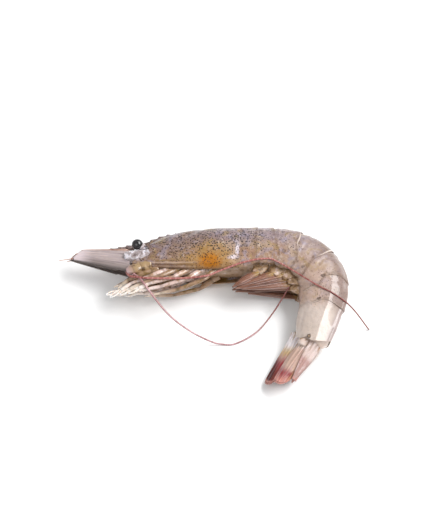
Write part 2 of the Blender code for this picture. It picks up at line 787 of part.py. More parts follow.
shell = make_material("raw_shell", (0.42, 0.38, 0.35), 0.3)
limb = make_material("raw_limb", (0.72, 0.5, 0.42), 0.35)
tail_red = make_material("tail_fan_red", (0.36, 0.12, 0.09), 0.3)
feeler_red = make_material("feeler_red", (0.5, 0.16, 0.15), 0.4)
eye_black = make_material("eye_black", (0.012, 0.011, 0.012), 0.12)

body = make_body()
make_rostrum()
for side_name, side in SIDES:
    make_scale(side_name, side)
    make_scale_root(side_name, side)
    make_eye(side_name, side)
    make_antennule(side_name, side)
    make_peduncle(side_name, side)
    for leg_index, leg_row in enumerate(LEGS):
        make_leg(leg_index, side_name, side, leg_row)
    for swim_index in range(5):
        make_swimmeret(swim_index, side_name, side)
make_tail_fan()
lying_on = surface_tree()
make_feeler("left", 1.0, LEFT_FEELER, lying_on)
make_feeler("right", -1.0, RIGHT_FEELER, lying_on)
fuse(body)
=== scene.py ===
"""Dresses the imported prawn: shell plates, flesh, head blades, eyes, feelers, legs, swimmerets and tail fan.

Lengths are in millimetres and angles in degrees, on the same spine as the solid; MM turns them into
metres where a mesh is made. A station is the distance along the spine from the eye socket towards the
tail, and a point on the prawn is (station, back, left).
"""

import json
import math
from functools import partial

import bmesh
import bpy
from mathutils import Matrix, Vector, noise
from mathutils.bvhtree import BVHTree

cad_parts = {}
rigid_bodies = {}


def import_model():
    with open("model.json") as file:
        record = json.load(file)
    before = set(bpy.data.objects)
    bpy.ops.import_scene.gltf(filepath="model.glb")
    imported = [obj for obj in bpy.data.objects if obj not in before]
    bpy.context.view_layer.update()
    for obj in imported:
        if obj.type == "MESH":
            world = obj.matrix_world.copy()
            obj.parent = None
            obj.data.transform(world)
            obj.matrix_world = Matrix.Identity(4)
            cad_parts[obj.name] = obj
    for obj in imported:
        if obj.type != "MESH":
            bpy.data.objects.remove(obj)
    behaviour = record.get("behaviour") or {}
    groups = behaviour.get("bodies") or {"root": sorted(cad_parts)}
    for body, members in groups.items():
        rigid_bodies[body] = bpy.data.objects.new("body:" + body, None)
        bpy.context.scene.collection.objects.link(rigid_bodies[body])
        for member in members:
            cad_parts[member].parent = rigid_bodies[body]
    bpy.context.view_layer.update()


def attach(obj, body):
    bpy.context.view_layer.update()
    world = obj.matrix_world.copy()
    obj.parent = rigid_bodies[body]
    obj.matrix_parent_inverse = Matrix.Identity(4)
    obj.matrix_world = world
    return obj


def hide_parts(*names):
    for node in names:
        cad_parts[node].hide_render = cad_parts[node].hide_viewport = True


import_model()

MM = 0.001
UP = Vector((0.0, 0.0, 1.0))

# Sizes shared with the solid ---------------------------------------------------

CARAPACE_LENGTH = 43.0
SEGMENT_LENGTHS = (8.0, 9.0, 8.0, 7.0, 8.5, 17.0)
TELSON_LENGTH = 17.4
ROSTRUM_LENGTH = 19.0
SCALE_LENGTH = 22.6
UROPOD_LENGTH = 23.0
EYE_DIAMETER = 4.6

JOINTS = [CARAPACE_LENGTH + sum(SEGMENT_LENGTHS[:count]) for count in range(7)]
JOINT_BENDS = (0.0, 13.0, 28.0, 27.0, 26.0, 12.0, 19.0)
JOINT_SPREAD = 6.5
HEAD_HEADING = 1.5
SPINE_START = -42.0
SPINE_END = JOINTS[-1] + 30.0
SPINE_STEP = 0.5
EYE_SOCKET = (-23.0, 4.8)
FOOTPRINT_MIDDLE = (3.1, -16.9)

# Half sizes of the body: station, towards the back, towards the belly, to each side
BODY_PROFILE = (
    (-9.0, 1.8, 2.8, 2.2),
    (-4.0, 3.9, 5.2, 3.9),
    (0.0, 5.6, 7.4, 5.0),
    (6.0, 8.2, 8.8, 6.9),
    (14.0, 10.4, 10.4, 8.7),
    (24.0, 11.6, 11.2, 9.6),
    (36.0, 11.8, 10.8, 9.6),
    (50.0, 11.7, 10.0, 9.3),
    (62.0, 11.6, 9.6, 8.9),
    (73.0, 11.0, 9.4, 8.2),
    (83.0, 10.2, 9.2, 7.5),
    (92.0, 9.4, 8.6, 7.0),
    (100.0, 8.2, 7.4, 6.3),
    (104.5, 4.6, 4.0, 4.8),
)
# How the spine lies: station, height over the table, roll of the back upwards
LIE_PROFILE = (
    (-42.0, 9.3, 0.0),
    (30.0, 9.3, 0.0),
    (48.0, 9.1, 1.0),
    (66.0, 8.8, 8.0),
    (78.0, 8.2, 17.0),
    (90.0, 7.5, 26.0),
    (101.0, 6.9, 34.0),
    (112.0, 6.0, 42.0),
    (130.0, 4.0, 47.0),
)
FLANK_FULLNESS = 0.86
HOOD_REACH = 6.5
HOOD_RUN = 22.0
HOOD_ANGLE = 38.0
SIDES = (("left", 1.0), ("right", -1.0))

# Camera, lights and floor ------------------------------------------------------

VIEW_ELEVATION = 58.0
LENS = 100.0
SENSOR = 36.0
VIEW_HEIGHT = 213.2
VIEW_MIDDLE = (1.6, 26.6, 0.0)
# Name, angle around the table from the camera's side, angle above it, distance, size and watts
SOFTBOXES = (
    ("key_box", 109.0, 50.0, 900.0, (840.0, 420.0), 10.6),
    ("fill_box", -30.0, 50.0, 1000.0, (700.0, 700.0), 2.4),
)
TENT_STRENGTH = 0.5
FLOOR_SIZE = 3000.0
FLOOR_GAP = 0.05


# Spine -------------------------------------------------------------------------


def smooth_step(value):
    """0 below 0, 1 above 1, and an ease between."""
    value = min(1.0, max(0.0, value))
    return value * value * (3.0 - 2.0 * value)


def bump(value, middle, reach):
    """1 at the middle, 0 from the reach outwards, and an ease between."""
    return smooth_step(1.0 - abs(value - middle) / reach)


def profile_at(profile, station):
    """The values of a profile at a station, on a smooth curve through its rows."""
    last = len(profile) - 1
    if station <= profile[0][0]:
        return profile[0][1:]
    if station >= profile[last][0]:
        return profile[last][1:]
    row = max(index for index in range(last) if profile[index][0] <= station)
    start, end = profile[row], profile[row + 1]
    before, after = profile[max(row - 1, 0)], profile[min(row + 2, last)]
    span = end[0] - start[0]
    t = (station - start[0]) / span
    values = []
    for column in range(1, len(start)):
        slope_in = (end[column] - before[column]) / (end[0] - before[0]) * span
        slope_out = (after[column] - start[column]) / (after[0] - start[0]) * span
        values.append(
            (2 * t**3 - 3 * t**2 + 1) * start[column]
            + (t**3 - 2 * t**2 + t) * slope_in
            + (3 * t**2 - 2 * t**3) * end[column]
            + (t**3 - t**2) * slope_out
        )
    return tuple(values)


def heading(station):
    """The way the spine runs at a station, as an angle from +X, in radians."""
    turned = sum(
        bend * smooth_step((station - joint) / (2 * JOINT_SPREAD) + 0.5)
        for joint, bend in zip(JOINTS, JOINT_BENDS)
    )
    return math.radians(HEAD_HEADING - turned)


def trace_spine():
    """Spine points in the plane of the table, one for each step from SPINE_START to SPINE_END."""
    count = round((SPINE_END - SPINE_START) / SPINE_STEP)
    points = [Vector((0.0, 0.0))]
    for index in range(count):
        angle = heading(SPINE_START + (index + 0.5) * SPINE_STEP)
        points.append(points[-1] + SPINE_STEP * Vector((math.cos(angle), math.sin(angle))))
    socket = points[round(-SPINE_START / SPINE_STEP)]
    shift = Vector(EYE_SOCKET) - Vector(FOOTPRINT_MIDDLE) - socket
    return [point + shift for point in points]


SPINE = trace_spine()


def spine_frame(station):
    """(point, tailwards, to the back, to the left) at a station."""
    place = (station - SPINE_START) / SPINE_STEP
    index = min(max(int(place), 0), len(SPINE) - 2)
    flat = SPINE[index].lerp(SPINE[index + 1], place - index)
    height, roll = profile_at(LIE_PROFILE, station)
    angle, roll = heading(station), math.radians(roll)
    tailwards = Vector((math.cos(angle), math.sin(angle), 0.0))
    outwards = Vector((-math.sin(angle), math.cos(angle), 0.0))
    back = math.cos(roll) * outwards + math.sin(roll) * UP
    left = math.cos(roll) * UP - math.sin(roll) * outwards
    return Vector((flat.x, flat.y, height)), tailwards, back, left


def at(station, back, left):
    """A point of the prawn in millimetres on the table."""
    origin, _, to_back, to_left = spine_frame(station)
    return origin + back * to_back + left * to_left


def skin_point(station, angle, swell=1.0, belly=1.0, proud=0.0):
    """A point on the body's skin. Angle 0 is the left flank, 90 the back and -90 the belly."""
    to_back, to_belly, to_side = profile_at(BODY_PROFILE, station)
    sine, cosine = math.sin(math.radians(angle)), math.cos(math.radians(angle))
    cheek = math.degrees(math.atan2(sine, abs(cosine)))
    hood = HOOD_REACH * bump(cheek, -HOOD_ANGLE, HOOD_ANGLE) * (1.0 - smooth_step(station / HOOD_RUN))
    side = math.copysign(abs(cosine) ** FLANK_FULLNESS, cosine) * to_side
    depth = sine * (to_back if sine > 0 else to_belly * belly)
    place = station - hood if station >= 0.0 else station
    reach = swell + proud / 10.0
    return at(place, depth * reach, side * reach)


# Materials ---------------------------------------------------------------------


def linear(code):
    """The linear colour of an sRGB hex value."""
    shares = [int(code[start : start + 2], 16) / 255.0 for start in (1, 3, 5)]
    return [((s + 0.055) / 1.055) ** 2.4 if s > 0.04045 else s / 12.92 for s in shares] + [1.0]


def add(tree, kind, sockets, output=0, **settings):
    """Adds a node, fills its sockets with numbers, hex colours or outputs, and gives one output."""
    node = tree.nodes.new("ShaderNode" + kind)
    for name, value in settings.items():
        setattr(node, name, value)
    for key, value in sockets.items():
        if isinstance(value, bpy.types.NodeSocket):
            tree.links.new(value, node.inputs[key])
        else:
            node.inputs[key].default_value = linear(value) if isinstance(value, str) else value
    return node.outputs[output]


def paint(tree, colour, *coats):
    """Lays coats over a colour. A coat is (colour, value, start, end, strength). It doesn't show where its
    value is at the start, and covers by its strength at the end, or fully where no strength is given."""
    for coat, value, start, end, *strength in coats:
        limits = {"Value": value, "From Min": start, "From Max": end, "To Max": sum(strength) or 1.0}
        share = add(tree, "MapRange", limits, interpolation_type="SMOOTHSTEP")
        colour = add(tree, "Mix", {0: share, 6: colour, 7: coat}, 2, data_type="RGBA")
    return colour


def lumps(place, size, **more):
    """Noise settings for lumps of about that many millimetres across."""
    return {"Vector": place, "Scale": 1.0 / (size * MM), "Detail": 3.0, "Roughness": 0.6} | more


def streaks(tree, lengthwise, crosswise):
    """Noise drawn out along a plate: so many changes along it and across it."""
    held = [add(tree, "Attribute", {}, 2, attribute_name=name) for name in ("along", "across", "layer")]
    spread = add(tree, "CombineXYZ", dict(enumerate(held)))
    grown = add(tree, "VectorMath", {0: spread, 1: (lengthwise, crosswise, 3.0)}, operation="MULTIPLY")
    return add(tree, "TexNoise", {"Vector": grown, "Scale": 1.0, "Detail": 4.0, "Roughness": 0.62})


def new_material(name, *held):
    """(material, node tree, Object coordinates, then the values that its pieces hold by those names)."""
    material = bpy.data.materials.new(name)
    material.use_nodes = True
    tree = material.node_tree
    place = add(tree, "TexCoord", {}, 3)
    return material, tree, place, *(add(tree, "Attribute", {}, 2, attribute_name=kept) for kept in held)


def wet(tree, colour, height, relief, scatter=0.2, roughness=0.36, coat=1.0, film=0.1, ripple=0.3, shine=0.5):
    """Gives a colour the soft light of raw chitin or flesh, its relief, and the water on top of it."""
    shader = tree.nodes["Principled BSDF"]
    tree.links.new(colour, shader.inputs["Base Color"])
    shader.inputs["Roughness"].default_value = roughness
    shader.inputs["IOR"].default_value = 1.45
    shader.inputs["Specular IOR Level"].default_value = shine
    shader.inputs["Subsurface Weight"].default_value = scatter
    shader.inputs["Subsurface Radius"].default_value = (1.0, 0.75, 0.6)
    shader.inputs["Subsurface Scale"].default_value = 1.0 * MM
    shader.inputs["Coat Weight"].default_value = coat
    shader.inputs["Coat Roughness"].default_value = film
    shader.inputs["Coat IOR"].default_value = 1.4
    rough = add(tree, "Bump", {"Height": height, "Distance": relief * MM, "Strength": 1.0})
    wavy = add(tree, "Bump", {"Height": height, "Distance": relief * MM, "Strength": ripple})
    tree.links.new(rough, shader.inputs["Normal"])
    tree.links.new(wavy, shader.inputs["Coat Normal"])


# Places on the shell as (station, angle), the same on both flanks
BLOTCH = (24.5, -40.0)
# Where the painted highlight lies on the carapace's fold, as (station, angle) with its stretch
CREASE_HIGHLIGHTS = (((33.6, -31.0), (0.6, 1.5)), ((35.5, -15.0), (1.5, 0.6)))
HINGES = ((46.5, -46.0), (54.5, -12.0), (67.0, -22.0), (75.3, 15.0), (85.2, 12.0), (101.4, 14.0))
# Millimetres of skin to a degree around the body
SKIN_RUN = 0.17
# Pigment cells are finer than these, and are drawn so coarse that they show
DOT_SPACING = 0.76
GRAIN_SPACING = 0.8


def shell_distance(tree, sheet, spot, stretch=(1.0, 1.0)):
    """How many millimetres of skin a place on the shell is from a spot given as (station, angle)."""
    centre = (spot[0] * stretch[0], spot[1] * SKIN_RUN * stretch[1], 0.0)
    drawn = add(tree, "VectorMath", {0: sheet, 1: (*stretch, 0.0)}, operation="MULTIPLY")
    return add(tree, "VectorMath", {0: drawn, 1: centre}, 1, operation="DISTANCE")


def shell_material(name, film, coat):
    """Raw chitin: a thin clear cuticle over grey flesh, freckled with dark pigment cells, always wet."""
    material, tree, place, station, angle, edge, rim = new_material(name, "station", "angle", "edge", "rim")
    around = add(tree, "Math", {0: angle, 1: SKIN_RUN}, operation="MULTIPLY")
    sheet = add(tree, "CombineXYZ", {0: station, 1: around})
    clouds = add(tree, "TexNoise", lumps(place, 9.0, Distortion=0.6))
    islands = add(tree, "TexNoise", lumps(place, 5.0, Distortion=0.9), 1)
    islands = add(tree, "SeparateColor", {"Color": islands}, 0)
    mottle = add(tree, "TexNoise", lumps(place, 1.5, Distortion=0.4))
    # Flank, back, low flank, head and last segments each have their own ground colour
    colour = paint(
        tree,
        "#94745F",
        ("#A08770", clouds, 0.38, 0.58),
        ("#8A7C84", angle, -10.0, 20.0, 0.8),
        ("#BC9A80", angle, -22.0, -50.0, 0.65),
        ("#7A6154", station, 40.0, 18.0, 0.6),
        ("#A9948A", station, 50.0, 62.0, 0.6),
        ("#C4B4AC", station, 84.0, 91.0, 0.8),
        # Olive and lavender islands drift through it
        ("#957B42", islands, 0.52, 0.64, 0.5),
        ("#90889A", islands, 0.46, 0.36, 0.5),
        ("#C4B2A8", mottle, 0.54, 0.72, 0.5),
        ("#5A4638", mottle, 0.46, 0.3, 0.6),
        ("#C8AC9E", station, 66.0, 76.0, 0.45),
    )
    # Painted shade: the upper flank and back of the tail plates from the third on are darkened where the key
    # light falls strongest
    painted_back_shade = paint(tree, colour, ("#74625C", angle, 4.0, 60.0, 0.74))
    colour = paint(tree, colour, (painted_back_shade, station, 54.0, 66.0))
    # The liver shows through the carapace as an orange patch
    blotch = shell_distance(tree, sheet, BLOTCH, (0.72, 1.0))
    ragged = add(tree, "Math", {0: mottle, 1: 3.4, 2: blotch}, operation="MULTIPLY_ADD")
    colour = paint(tree, colour, ("#A27A3E", ragged, 11.0, 5.4, 0.75), ("#A86700", ragged, 6.2, 3.2, 1.0))
    # A painted highlight, pale lavender white, on the fold where the carapace bends over the heart
    for spot, stretch in CREASE_HIGHLIGHTS:
        crease_highlight = shell_distance(tree, sheet, spot, stretch)
        crease_highlight = add(tree, "Math", {0: mottle, 1: 1.6, 2: crease_highlight}, operation="MULTIPLY_ADD")
        colour = paint(tree, colour, ("#D9CFDC", crease_highlight, 2.5, 1.4, 0.55))
    # Pigment cells crowd the head and the back, and thin out on the low flank and the tail
    fewer = add(tree, "MapRange", {"Value": station, "From Min": 34.0, "From Max": 62.0, "To Max": 0.2})
    low = add(tree, "MapRange", {"Value": angle, "From Min": 0.0, "From Max": -45.0, "To Max": 0.12})
    less = add(tree, "Math", {0: fewer, 1: low}, operation="ADD")
    less = add(tree, "Math", {0: clouds, 1: -0.5, 2: less}, operation="MULTIPLY_ADD")
    for spacing, size, depth in ((DOT_SPACING, 0.67, 0.9), (1.9 * DOT_SPACING, 0.42, 0.7)):
        cells = add(tree, "TexVoronoi", {"Vector": place, "Scale": 1.0 / (spacing * MM)})
        cells = add(tree, "Math", {0: cells, 1: less}, operation="ADD")
        colour = paint(tree, colour, ("#1E1518", cells, size - 0.44, size - 0.62, depth))
    # Brown lines run along the carapace's low edge
    lines = add(tree, "Math", {0: edge, 1: 3.6, 2: clouds}, operation="MULTIPLY_ADD")
    lines = add(tree, "Math", {0: lines}, operation="SINE")
    low_lines = paint(
        tree,
        colour,
        ("#6E5030", lines, 0.1, 0.8, 0.6),
        ("#C0A28C", lines, -0.3, -0.9, 0.6),
        (colour, station, 14.0, 22.0),
        (colour, edge, 3.2, 5.0),
    )
    colour = paint(tree, colour, (low_lines, angle, -28.0, -40.0))
    # Each plate ends in a pale rim with a brown seam in front of it, and the last one is smooth and pale,
    # with painted shade on its back and painted light on its low flank, which faces down
    seam = add(tree, "Math", {0: mottle, 1: 1.6, 2: edge}, operation="MULTIPLY_ADD")
    colour = paint(tree, colour, ("#5A4230", seam, 2.6, 1.2, 0.4))
    last = paint(tree, "#C6B8AE", ("#9C8C8C", angle, 62.0, 84.0, 0.8), ("#DED2CA", angle, -6.0, -24.0, 0.8))
    colour = paint(tree, colour, (last, station, 84.0, 91.0, 0.75))
    pale = add(tree, "MapRange", {"Value": edge, "From Min": 0.6, "From Max": 0.3})
    pale = add(tree, "Math", {0: pale, 1: rim}, operation="MULTIPLY")
    colour = paint(tree, colour, ("#CDBDB2", pale, 0.1, 1.0))
    # A dark knob at each hinge, darker towards the tail
    for number, hinge in enumerate(HINGES):
        spot = shell_distance(tree, sheet, hinge)
        spot = add(tree, "Math", {0: mottle, 1: 2.0, 2: spot}, operation="MULTIPLY_ADD")
        colour = paint(
            tree,
            colour,
            ("#2E1E16", spot, 2.1, 1.6, 0.35 + 0.1 * number),
            ("#A88B6E", spot, 1.5, 1.1, 0.7),
        )
    swell = add(tree, "TexNoise", lumps(place, 3.4, Detail=1.0))
    height = add(tree, "Math", {0: swell, 1: 2.4, 2: mottle}, operation="MULTIPLY_ADD")
    wet(tree, colour, height, 0.2, film=film, coat=coat, scatter=0.12, ripple=0.12, shine=0.25)
    return material


# Where on the table the dark brain and gut show through the head's flesh
DARK_HEAD = (-30.0, 20.0, 12.0)


def flesh_material():
    """Raw muscle and gut between the plates and on the belly: milky, pinkish and very wet."""
    material, tree, place, along = new_material("raw_flesh", "along")
    patches = add(tree, "TexNoise", lumps(place, 4.0))
    colour = paint(
        tree,
        "#86684C",
        ("#A88A70", patches, 0.35, 0.48),
        ("#C4AC9C", patches, 0.52, 0.64),
        # Painted light: the flesh at the tail's end, in the shaded hollow under the last plate, is paler
        ("#D2BEB2", along, 0.88, 0.96, 0.8),
    )
    here = add(tree, "VectorMath", {0: place, 1: (1.0 / MM,) * 3}, operation="MULTIPLY")
    head = add(tree, "VectorMath", {0: here, 1: DARK_HEAD}, 1, operation="DISTANCE")
    colour = paint(tree, colour, ("#5E4C4C", head, 12.0, 6.0, 0.8))
    height = add(tree, "TexNoise", lumps(place, 1.2))
    wet(tree, colour, height, 0.25, scatter=0.3)
    return material


def blade_material():
    """Antennal scale: a stiff, thin, clear plate with fine dark lines along it and a brown rim."""
    material, tree, _, along, across = new_material("clear_chitin_blade", "along", "across")
    streak = streaks(tree, 1.6, 5.0)
    fine = streaks(tree, 4.0, 22.0)
    colour = paint(
        tree,
        "#85797A",
        ("#AC9C9A", streak, 0.34, 0.46),
        ("#C2B0AB", streak, 0.5, 0.62),
        ("#A99AAE", fine, 0.52, 0.66, 0.45),
        ("#4E4342", fine, 0.42, 0.28, 0.55),
    )
    midline = add(tree, "Math", {0: streak, 1: 0.5, 2: across}, operation="MULTIPLY_ADD")
    colour = paint(tree, colour, ("#706460", midline, 0.3, -0.5, 0.75), ("#E3D2D6", along, 0.62, 0.95, 0.8))
    lowest = add(tree, "Math", {0: fine, 1: 0.4, 2: across}, operation="MULTIPLY_ADD")
    colour = paint(
        tree,
        colour,
        ("#483E3A", lowest, -0.5, -0.78, 0.85),
        ("#8A6150", across, 0.88, 0.95, 0.9),
    )
    height = add(tree, "Math", {0: streak, 1: 1.5, 2: fine}, operation="MULTIPLY_ADD")
    wet(tree, colour, height, 0.2, scatter=0.15, coat=0.8)
    return material


def joint_material():
    """The swollen joints behind the blades: bluish white, glassy with water, and freckled on top."""
    material, tree, place = new_material("glassy_joint")
    patches = add(tree, "TexNoise", lumps(place, 2.4, Distortion=0.6))
    colour = paint(tree, "#5E504E", ("#9A8D8D", patches, 0.34, 0.44), ("#D6D0D6", patches, 0.48, 0.6))
    cells = add(tree, "TexVoronoi", {"Vector": place, "Scale": 1.0 / (GRAIN_SPACING * MM)})
    colour = paint(tree, colour, ("#1E1A1C", cells, 0.28, 0.16, 0.6))
    wet(tree, colour, patches, 0.5, scatter=0.2)
    return material


def limb_material(name, pale, warm, joint_colour, end):
    """Leg cuticle: almost colourless over pale flesh, warmer at the joints and towards the ends."""
    material, tree, place, along, joint = new_material(name, "along", "joint")
    patches = add(tree, "TexNoise", lumps(place, 2.6))
    colour = paint(
        tree,
        pale,
        (warm, patches, 0.46, 0.64),
        (end, along, 0.6, 1.0, 0.85),
        (joint_colour, joint, 0.35, 1.0, 0.6),
    )
    height = add(tree, "TexNoise", lumps(place, 0.8))
    wet(tree, colour, height, 0.12)
    return material


# Radians of the ring pattern along a feeler: 67 rings, 1.2 to 1.6 mm apart. Real ones are several times
# closer together, too fine to show
FEELER_RINGS = 420.0


def feeler_material(name, dark, light):
    """A ringed red whip of hard chitin."""
    material, tree, place, along = new_material(name, "along")
    turns = add(tree, "Math", {0: along, 1: FEELER_RINGS}, operation="MULTIPLY")
    rings = add(tree, "Math", {0: turns}, operation="SINE")
    patches = add(tree, "TexNoise", lumps(place, 6.0))
    colour = paint(
        tree,
        dark,
        (light, patches, 0.42, 0.62),
        ("#D9A79C", rings, 0.2, 1.0, 0.3),
        ("#74362E", along, 0.7, 0.9, 0.85),
    )
    wet(tree, colour, rings, 0.04, scatter=0.1)
    return material


def tail_material(name, bands, stripe, centre, dark_from, inner_edge):
    """Tail plates: clear wet chitin with ribs. Each band is (colour, place along where it has begun)."""
    material, tree, place, along, across = new_material(name, "along", "across")
    streak = streaks(tree, 1.8, 3.4)
    fine = streaks(tree, 4.0, 16.0)
    ragged = add(tree, "Math", {0: streak, 1: 0.3, 2: along}, operation="MULTIPLY_ADD")
    colour = bands[0][0]
    for band, begun in bands[1:]:
        colour = paint(tree, colour, (band, ragged, begun + 0.05, begun + 0.2))
    fading = add(tree, "Math", {0: along, 1: 0.22, 2: streak}, operation="MULTIPLY_ADD")
    colour = paint(
        tree,
        colour,
        (stripe, fading, 0.56, 0.44, 0.7),
        (centre, streak, 0.52, 0.66, 0.4),
        ("#5A4034", fine, 0.42, 0.3, 0.3),
        (inner_edge, across, -0.4, -0.9, 0.7),
    )
    outer = add(tree, "Math", {0: across, 1: 0.5}, operation="ADD")
    for _ in range(2):
        outer = add(tree, "Math", {0: outer, 1: along}, operation="MULTIPLY")
    outer = add(tree, "Math", {0: fine, 1: 0.3, 2: outer}, operation="MULTIPLY_ADD")
    colour = paint(
        tree,
        colour,
        ("#420606", outer, dark_from, dark_from + 0.4, 0.9),
        ("#C88E84", along, 0.94, 0.99, 0.8),
    )
    cells = add(tree, "TexVoronoi", {"Vector": place, "Scale": 1.0 / (GRAIN_SPACING * MM)})
    colour = paint(tree, colour, ("#2A1614", cells, 0.24, 0.12, 0.35))
    height = add(tree, "Math", {0: streak, 1: 1.6, 2: fine}, operation="MULTIPLY_ADD")
    wet(tree, colour, height, 0.25, scatter=0.15, coat=0.5, film=0.16, shine=0.2)
    return material


def swimmeret_material():
    """Swimmeret blades: paper-thin, brownish pink, with fringe hairs lying along them in dark lines."""
    material, tree, _, along, across = new_material("swimmeret_chitin", "along", "across")
    streak = streaks(tree, 1.2, 5.0)
    fine = streaks(tree, 3.0, 18.0)
    colour = paint(
        tree,
        "#532C20",
        ("#855640", streak, 0.36, 0.46),
        ("#B8948A", streak, 0.56, 0.64),
        ("#30180F", fine, 0.44, 0.32, 0.85),
        ("#A88848", along, 0.3, 0.02, 0.8),
    )
    side = add(tree, "Math", {0: across}, operation="ABSOLUTE")
    colour = paint(tree, colour, ("#3E2014", side, 0.62, 0.8, 0.7), ("#C8A298", side, 0.84, 0.92, 0.8))
    height = add(tree, "Math", {0: streak, 1: 1.5, 2: fine}, operation="MULTIPLY_ADD")
    wet(tree, colour, height, 0.2, scatter=0.15)
    return material


def stem_material():
    """Swimmeret and antennule stems: thick chitin, a cloudy olive tan, with dark grains of pigment."""
    material, tree, place, along = new_material("olive_chitin_stem", "along")
    patches = add(tree, "TexNoise", lumps(place, 2.6, Distortion=0.5))
    colour = paint(
        tree,
        "#6C5034",
        ("#957656", patches, 0.36, 0.46),
        ("#B89E90", patches, 0.52, 0.62),
        ("#6A4424", along, 0.86, 1.0, 0.85),
    )
    cells = add(tree, "TexVoronoi", {"Vector": place, "Scale": 1.0 / (0.9 * MM)})
    colour = paint(tree, colour, ("#2A1C14", cells, 0.28, 0.16, 0.6))
    height = add(tree, "TexNoise", lumps(place, 1.2))
    wet(tree, colour, height, 0.35, roughness=0.45, coat=0.6, film=0.35)
    return material


def eye_material():
    """Compound eye: black pigment under a clear polished cornea. Its facets are drawn coarse to show."""
    material, tree, place = new_material("eye_cornea")
    patches = add(tree, "TexNoise", lumps(place, 1.4))
    colour = paint(tree, "#070608", ("#221E22", patches, 0.4, 0.7))
    facets = add(tree, "TexVoronoi", {"Vector": place, "Scale": 1.0 / (0.2 * MM)})
    wet(tree, colour, facets, 0.02, scatter=0.0, roughness=0.2, film=0.04)
    return material


def floor_material():
    """Matt white paper sweep."""
    material, tree, place = new_material("paper_sweep")
    patches = add(tree, "TexNoise", lumps(place, 220.0))
    colour = paint(tree, "#F4F4F4", ("#F8F8F8", patches, 0.3, 0.7))
    shader = tree.nodes["Principled BSDF"]
    tree.links.new(colour, shader.inputs["Base Color"])
    shader.inputs["Roughness"].default_value = 0.9
    shader.inputs["Specular IOR Level"].default_value = 0.1
    return material


# Drained shell has a thin broken film of water and shines softly, and wet shell is glossy
DRAINED_SHELL = shell_material("raw_chitin_drained", 0.3, 0.5)
WET_SHELL = shell_material("raw_chitin_wet", 0.1, 1.0)
FLESH = flesh_material()
BLADE = blade_material()
JOINT = joint_material()
LEG_PALE = limb_material("pale_leg_chitin", "#CCB4AC", "#9E7C60", "#4E3024", "#F8EEE6")
LEG_OLIVE = limb_material("olive_leg_chitin", "#97795F", "#74582A", "#3A2416", "#E2D4C4")
ROOT = limb_material("feeler_root_chitin", "#A08460", "#5E4422", "#5A3C28", "#B09296")
WHIP = limb_material("small_whip_chitin", "#A98474", "#8A5E4E", "#6E4436", "#C09C90")
FEELER_OVER = feeler_material("feeler_chitin_red", "#86403A", "#A2605A")
FEELER_UNDER = feeler_material("feeler_chitin_mauve", "#96686C", "#B89296")
TELSON_BANDS = (("#C8B4AE", 0.0), ("#A6827C", 0.46))
INNER_BANDS = (("#DCCECC", 0.0), ("#BC9E90", 0.36), ("#8A343A", 0.8), ("#BC8074", 0.93))
# The outer uropods' first band, lavender white, is a painted highlight for the gloss at their roots and
# painted light against their shade
OUTER_BANDS_AND_ROOT_HIGHLIGHT = (("#F2EAEC", 0.0), ("#C2A674", 0.4), ("#B8948A", 0.5), ("#9A4044", 0.6), ("#7E3A32", 0.76))
TELSON = tail_material("telson_chitin", TELSON_BANDS, "#94704A", "#E8DCD8", 1.6, "#866458")
INNER_UROPOD = tail_material("inner_uropod_chitin", INNER_BANDS, "#9C7A46", "#CDBABA", 1.6, "#94703C")
OUTER_UROPOD = tail_material("outer_uropod_chitin", OUTER_BANDS_AND_ROOT_HIGHLIGHT, "#A8864E", "#D8C8CA", 0.38, "#702E26")
FAN_STEM = limb_material("fan_stem_chitin", "#CDB8AE", "#A48462", "#6A4A34", "#D8C8C0")
CLAW = limb_material("claw_chitin", "#F4EAE2", "#E2D0C0", "#C8AC98", "#FFFFFF")
SWIM = swimmeret_material()
STEM = stem_material()
EYE = eye_material()
FLOOR = floor_material()


# Mesh helpers ------------------------------------------------------------------

# What would sink into the table is pressed flat on it
TABLE_CLEAR = 0.06
PRESSED_SHARE = 0.03


def link_mesh(bm, name, material):
    """Puts a bmesh that is in millimetres in the scene, as an object of one material."""
    bmesh.ops.scale(bm, vec=(MM, MM, MM), verts=bm.verts)
    mesh = bpy.data.meshes.new(name)
    bm.to_mesh(mesh)
    bm.free()
    mesh.materials.append(material)
    thing = bpy.data.objects.new(name, mesh)
    bpy.context.scene.collection.objects.link(thing)
    return thing


def finish_piece(bm, name, material, wall=0.0, wall_offset=0.0):
    """Makes a piece of a bmesh that is in millimetres, and ties it to the prawn."""
    lowest = TABLE_CLEAR + wall
    for vert in bm.verts:
        if vert.co.z < lowest:
            vert.co.z = lowest + PRESSED_SHARE * (vert.co.z - lowest)
    piece = link_mesh(bm, name, material)
    piece.data.shade_smooth()
    if wall:
        plate = piece.modifiers.new("wall", "SOLIDIFY")
        plate.thickness = wall * MM
        plate.offset = wall_offset
    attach(piece, "root")
    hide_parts("prawn")
    return piece


def grid(rows, columns):
    """A bmesh grid of the unit square, with its corner at 0, 0."""
    bm = bmesh.new()
    bmesh.ops.create_grid(bm, x_segments=rows, y_segments=columns, size=0.5)
    bmesh.ops.translate(bm, vec=(0.5, 0.5, 0.0), verts=bm.verts)
    return bm


def plate_sheet(rows, columns, point, layer_number):
    """A sheet from its point(u, v), u from root to tip and v from -1 to 1 across it."""
    bm = grid(rows, columns)
    layers = [bm.verts.layers.float.new(layer) for layer in ("along", "across", "layer")]
    for vert in bm.verts:
        u, v = vert.co.x, 2.0 * vert.co.y - 1.0
        vert.co = point(u, v)
        for layer, value in zip(layers, (u, v, layer_number)):
            vert[layer] = value
    return bm


def oval(middle, wide, thick, sides):
    """Points around an oval with those two half axes."""
    turns = (2.0 * math.pi * side / sides for side in range(sides))
    return [middle + math.cos(turn) * wide + math.sin(turn) * thick for turn in turns]


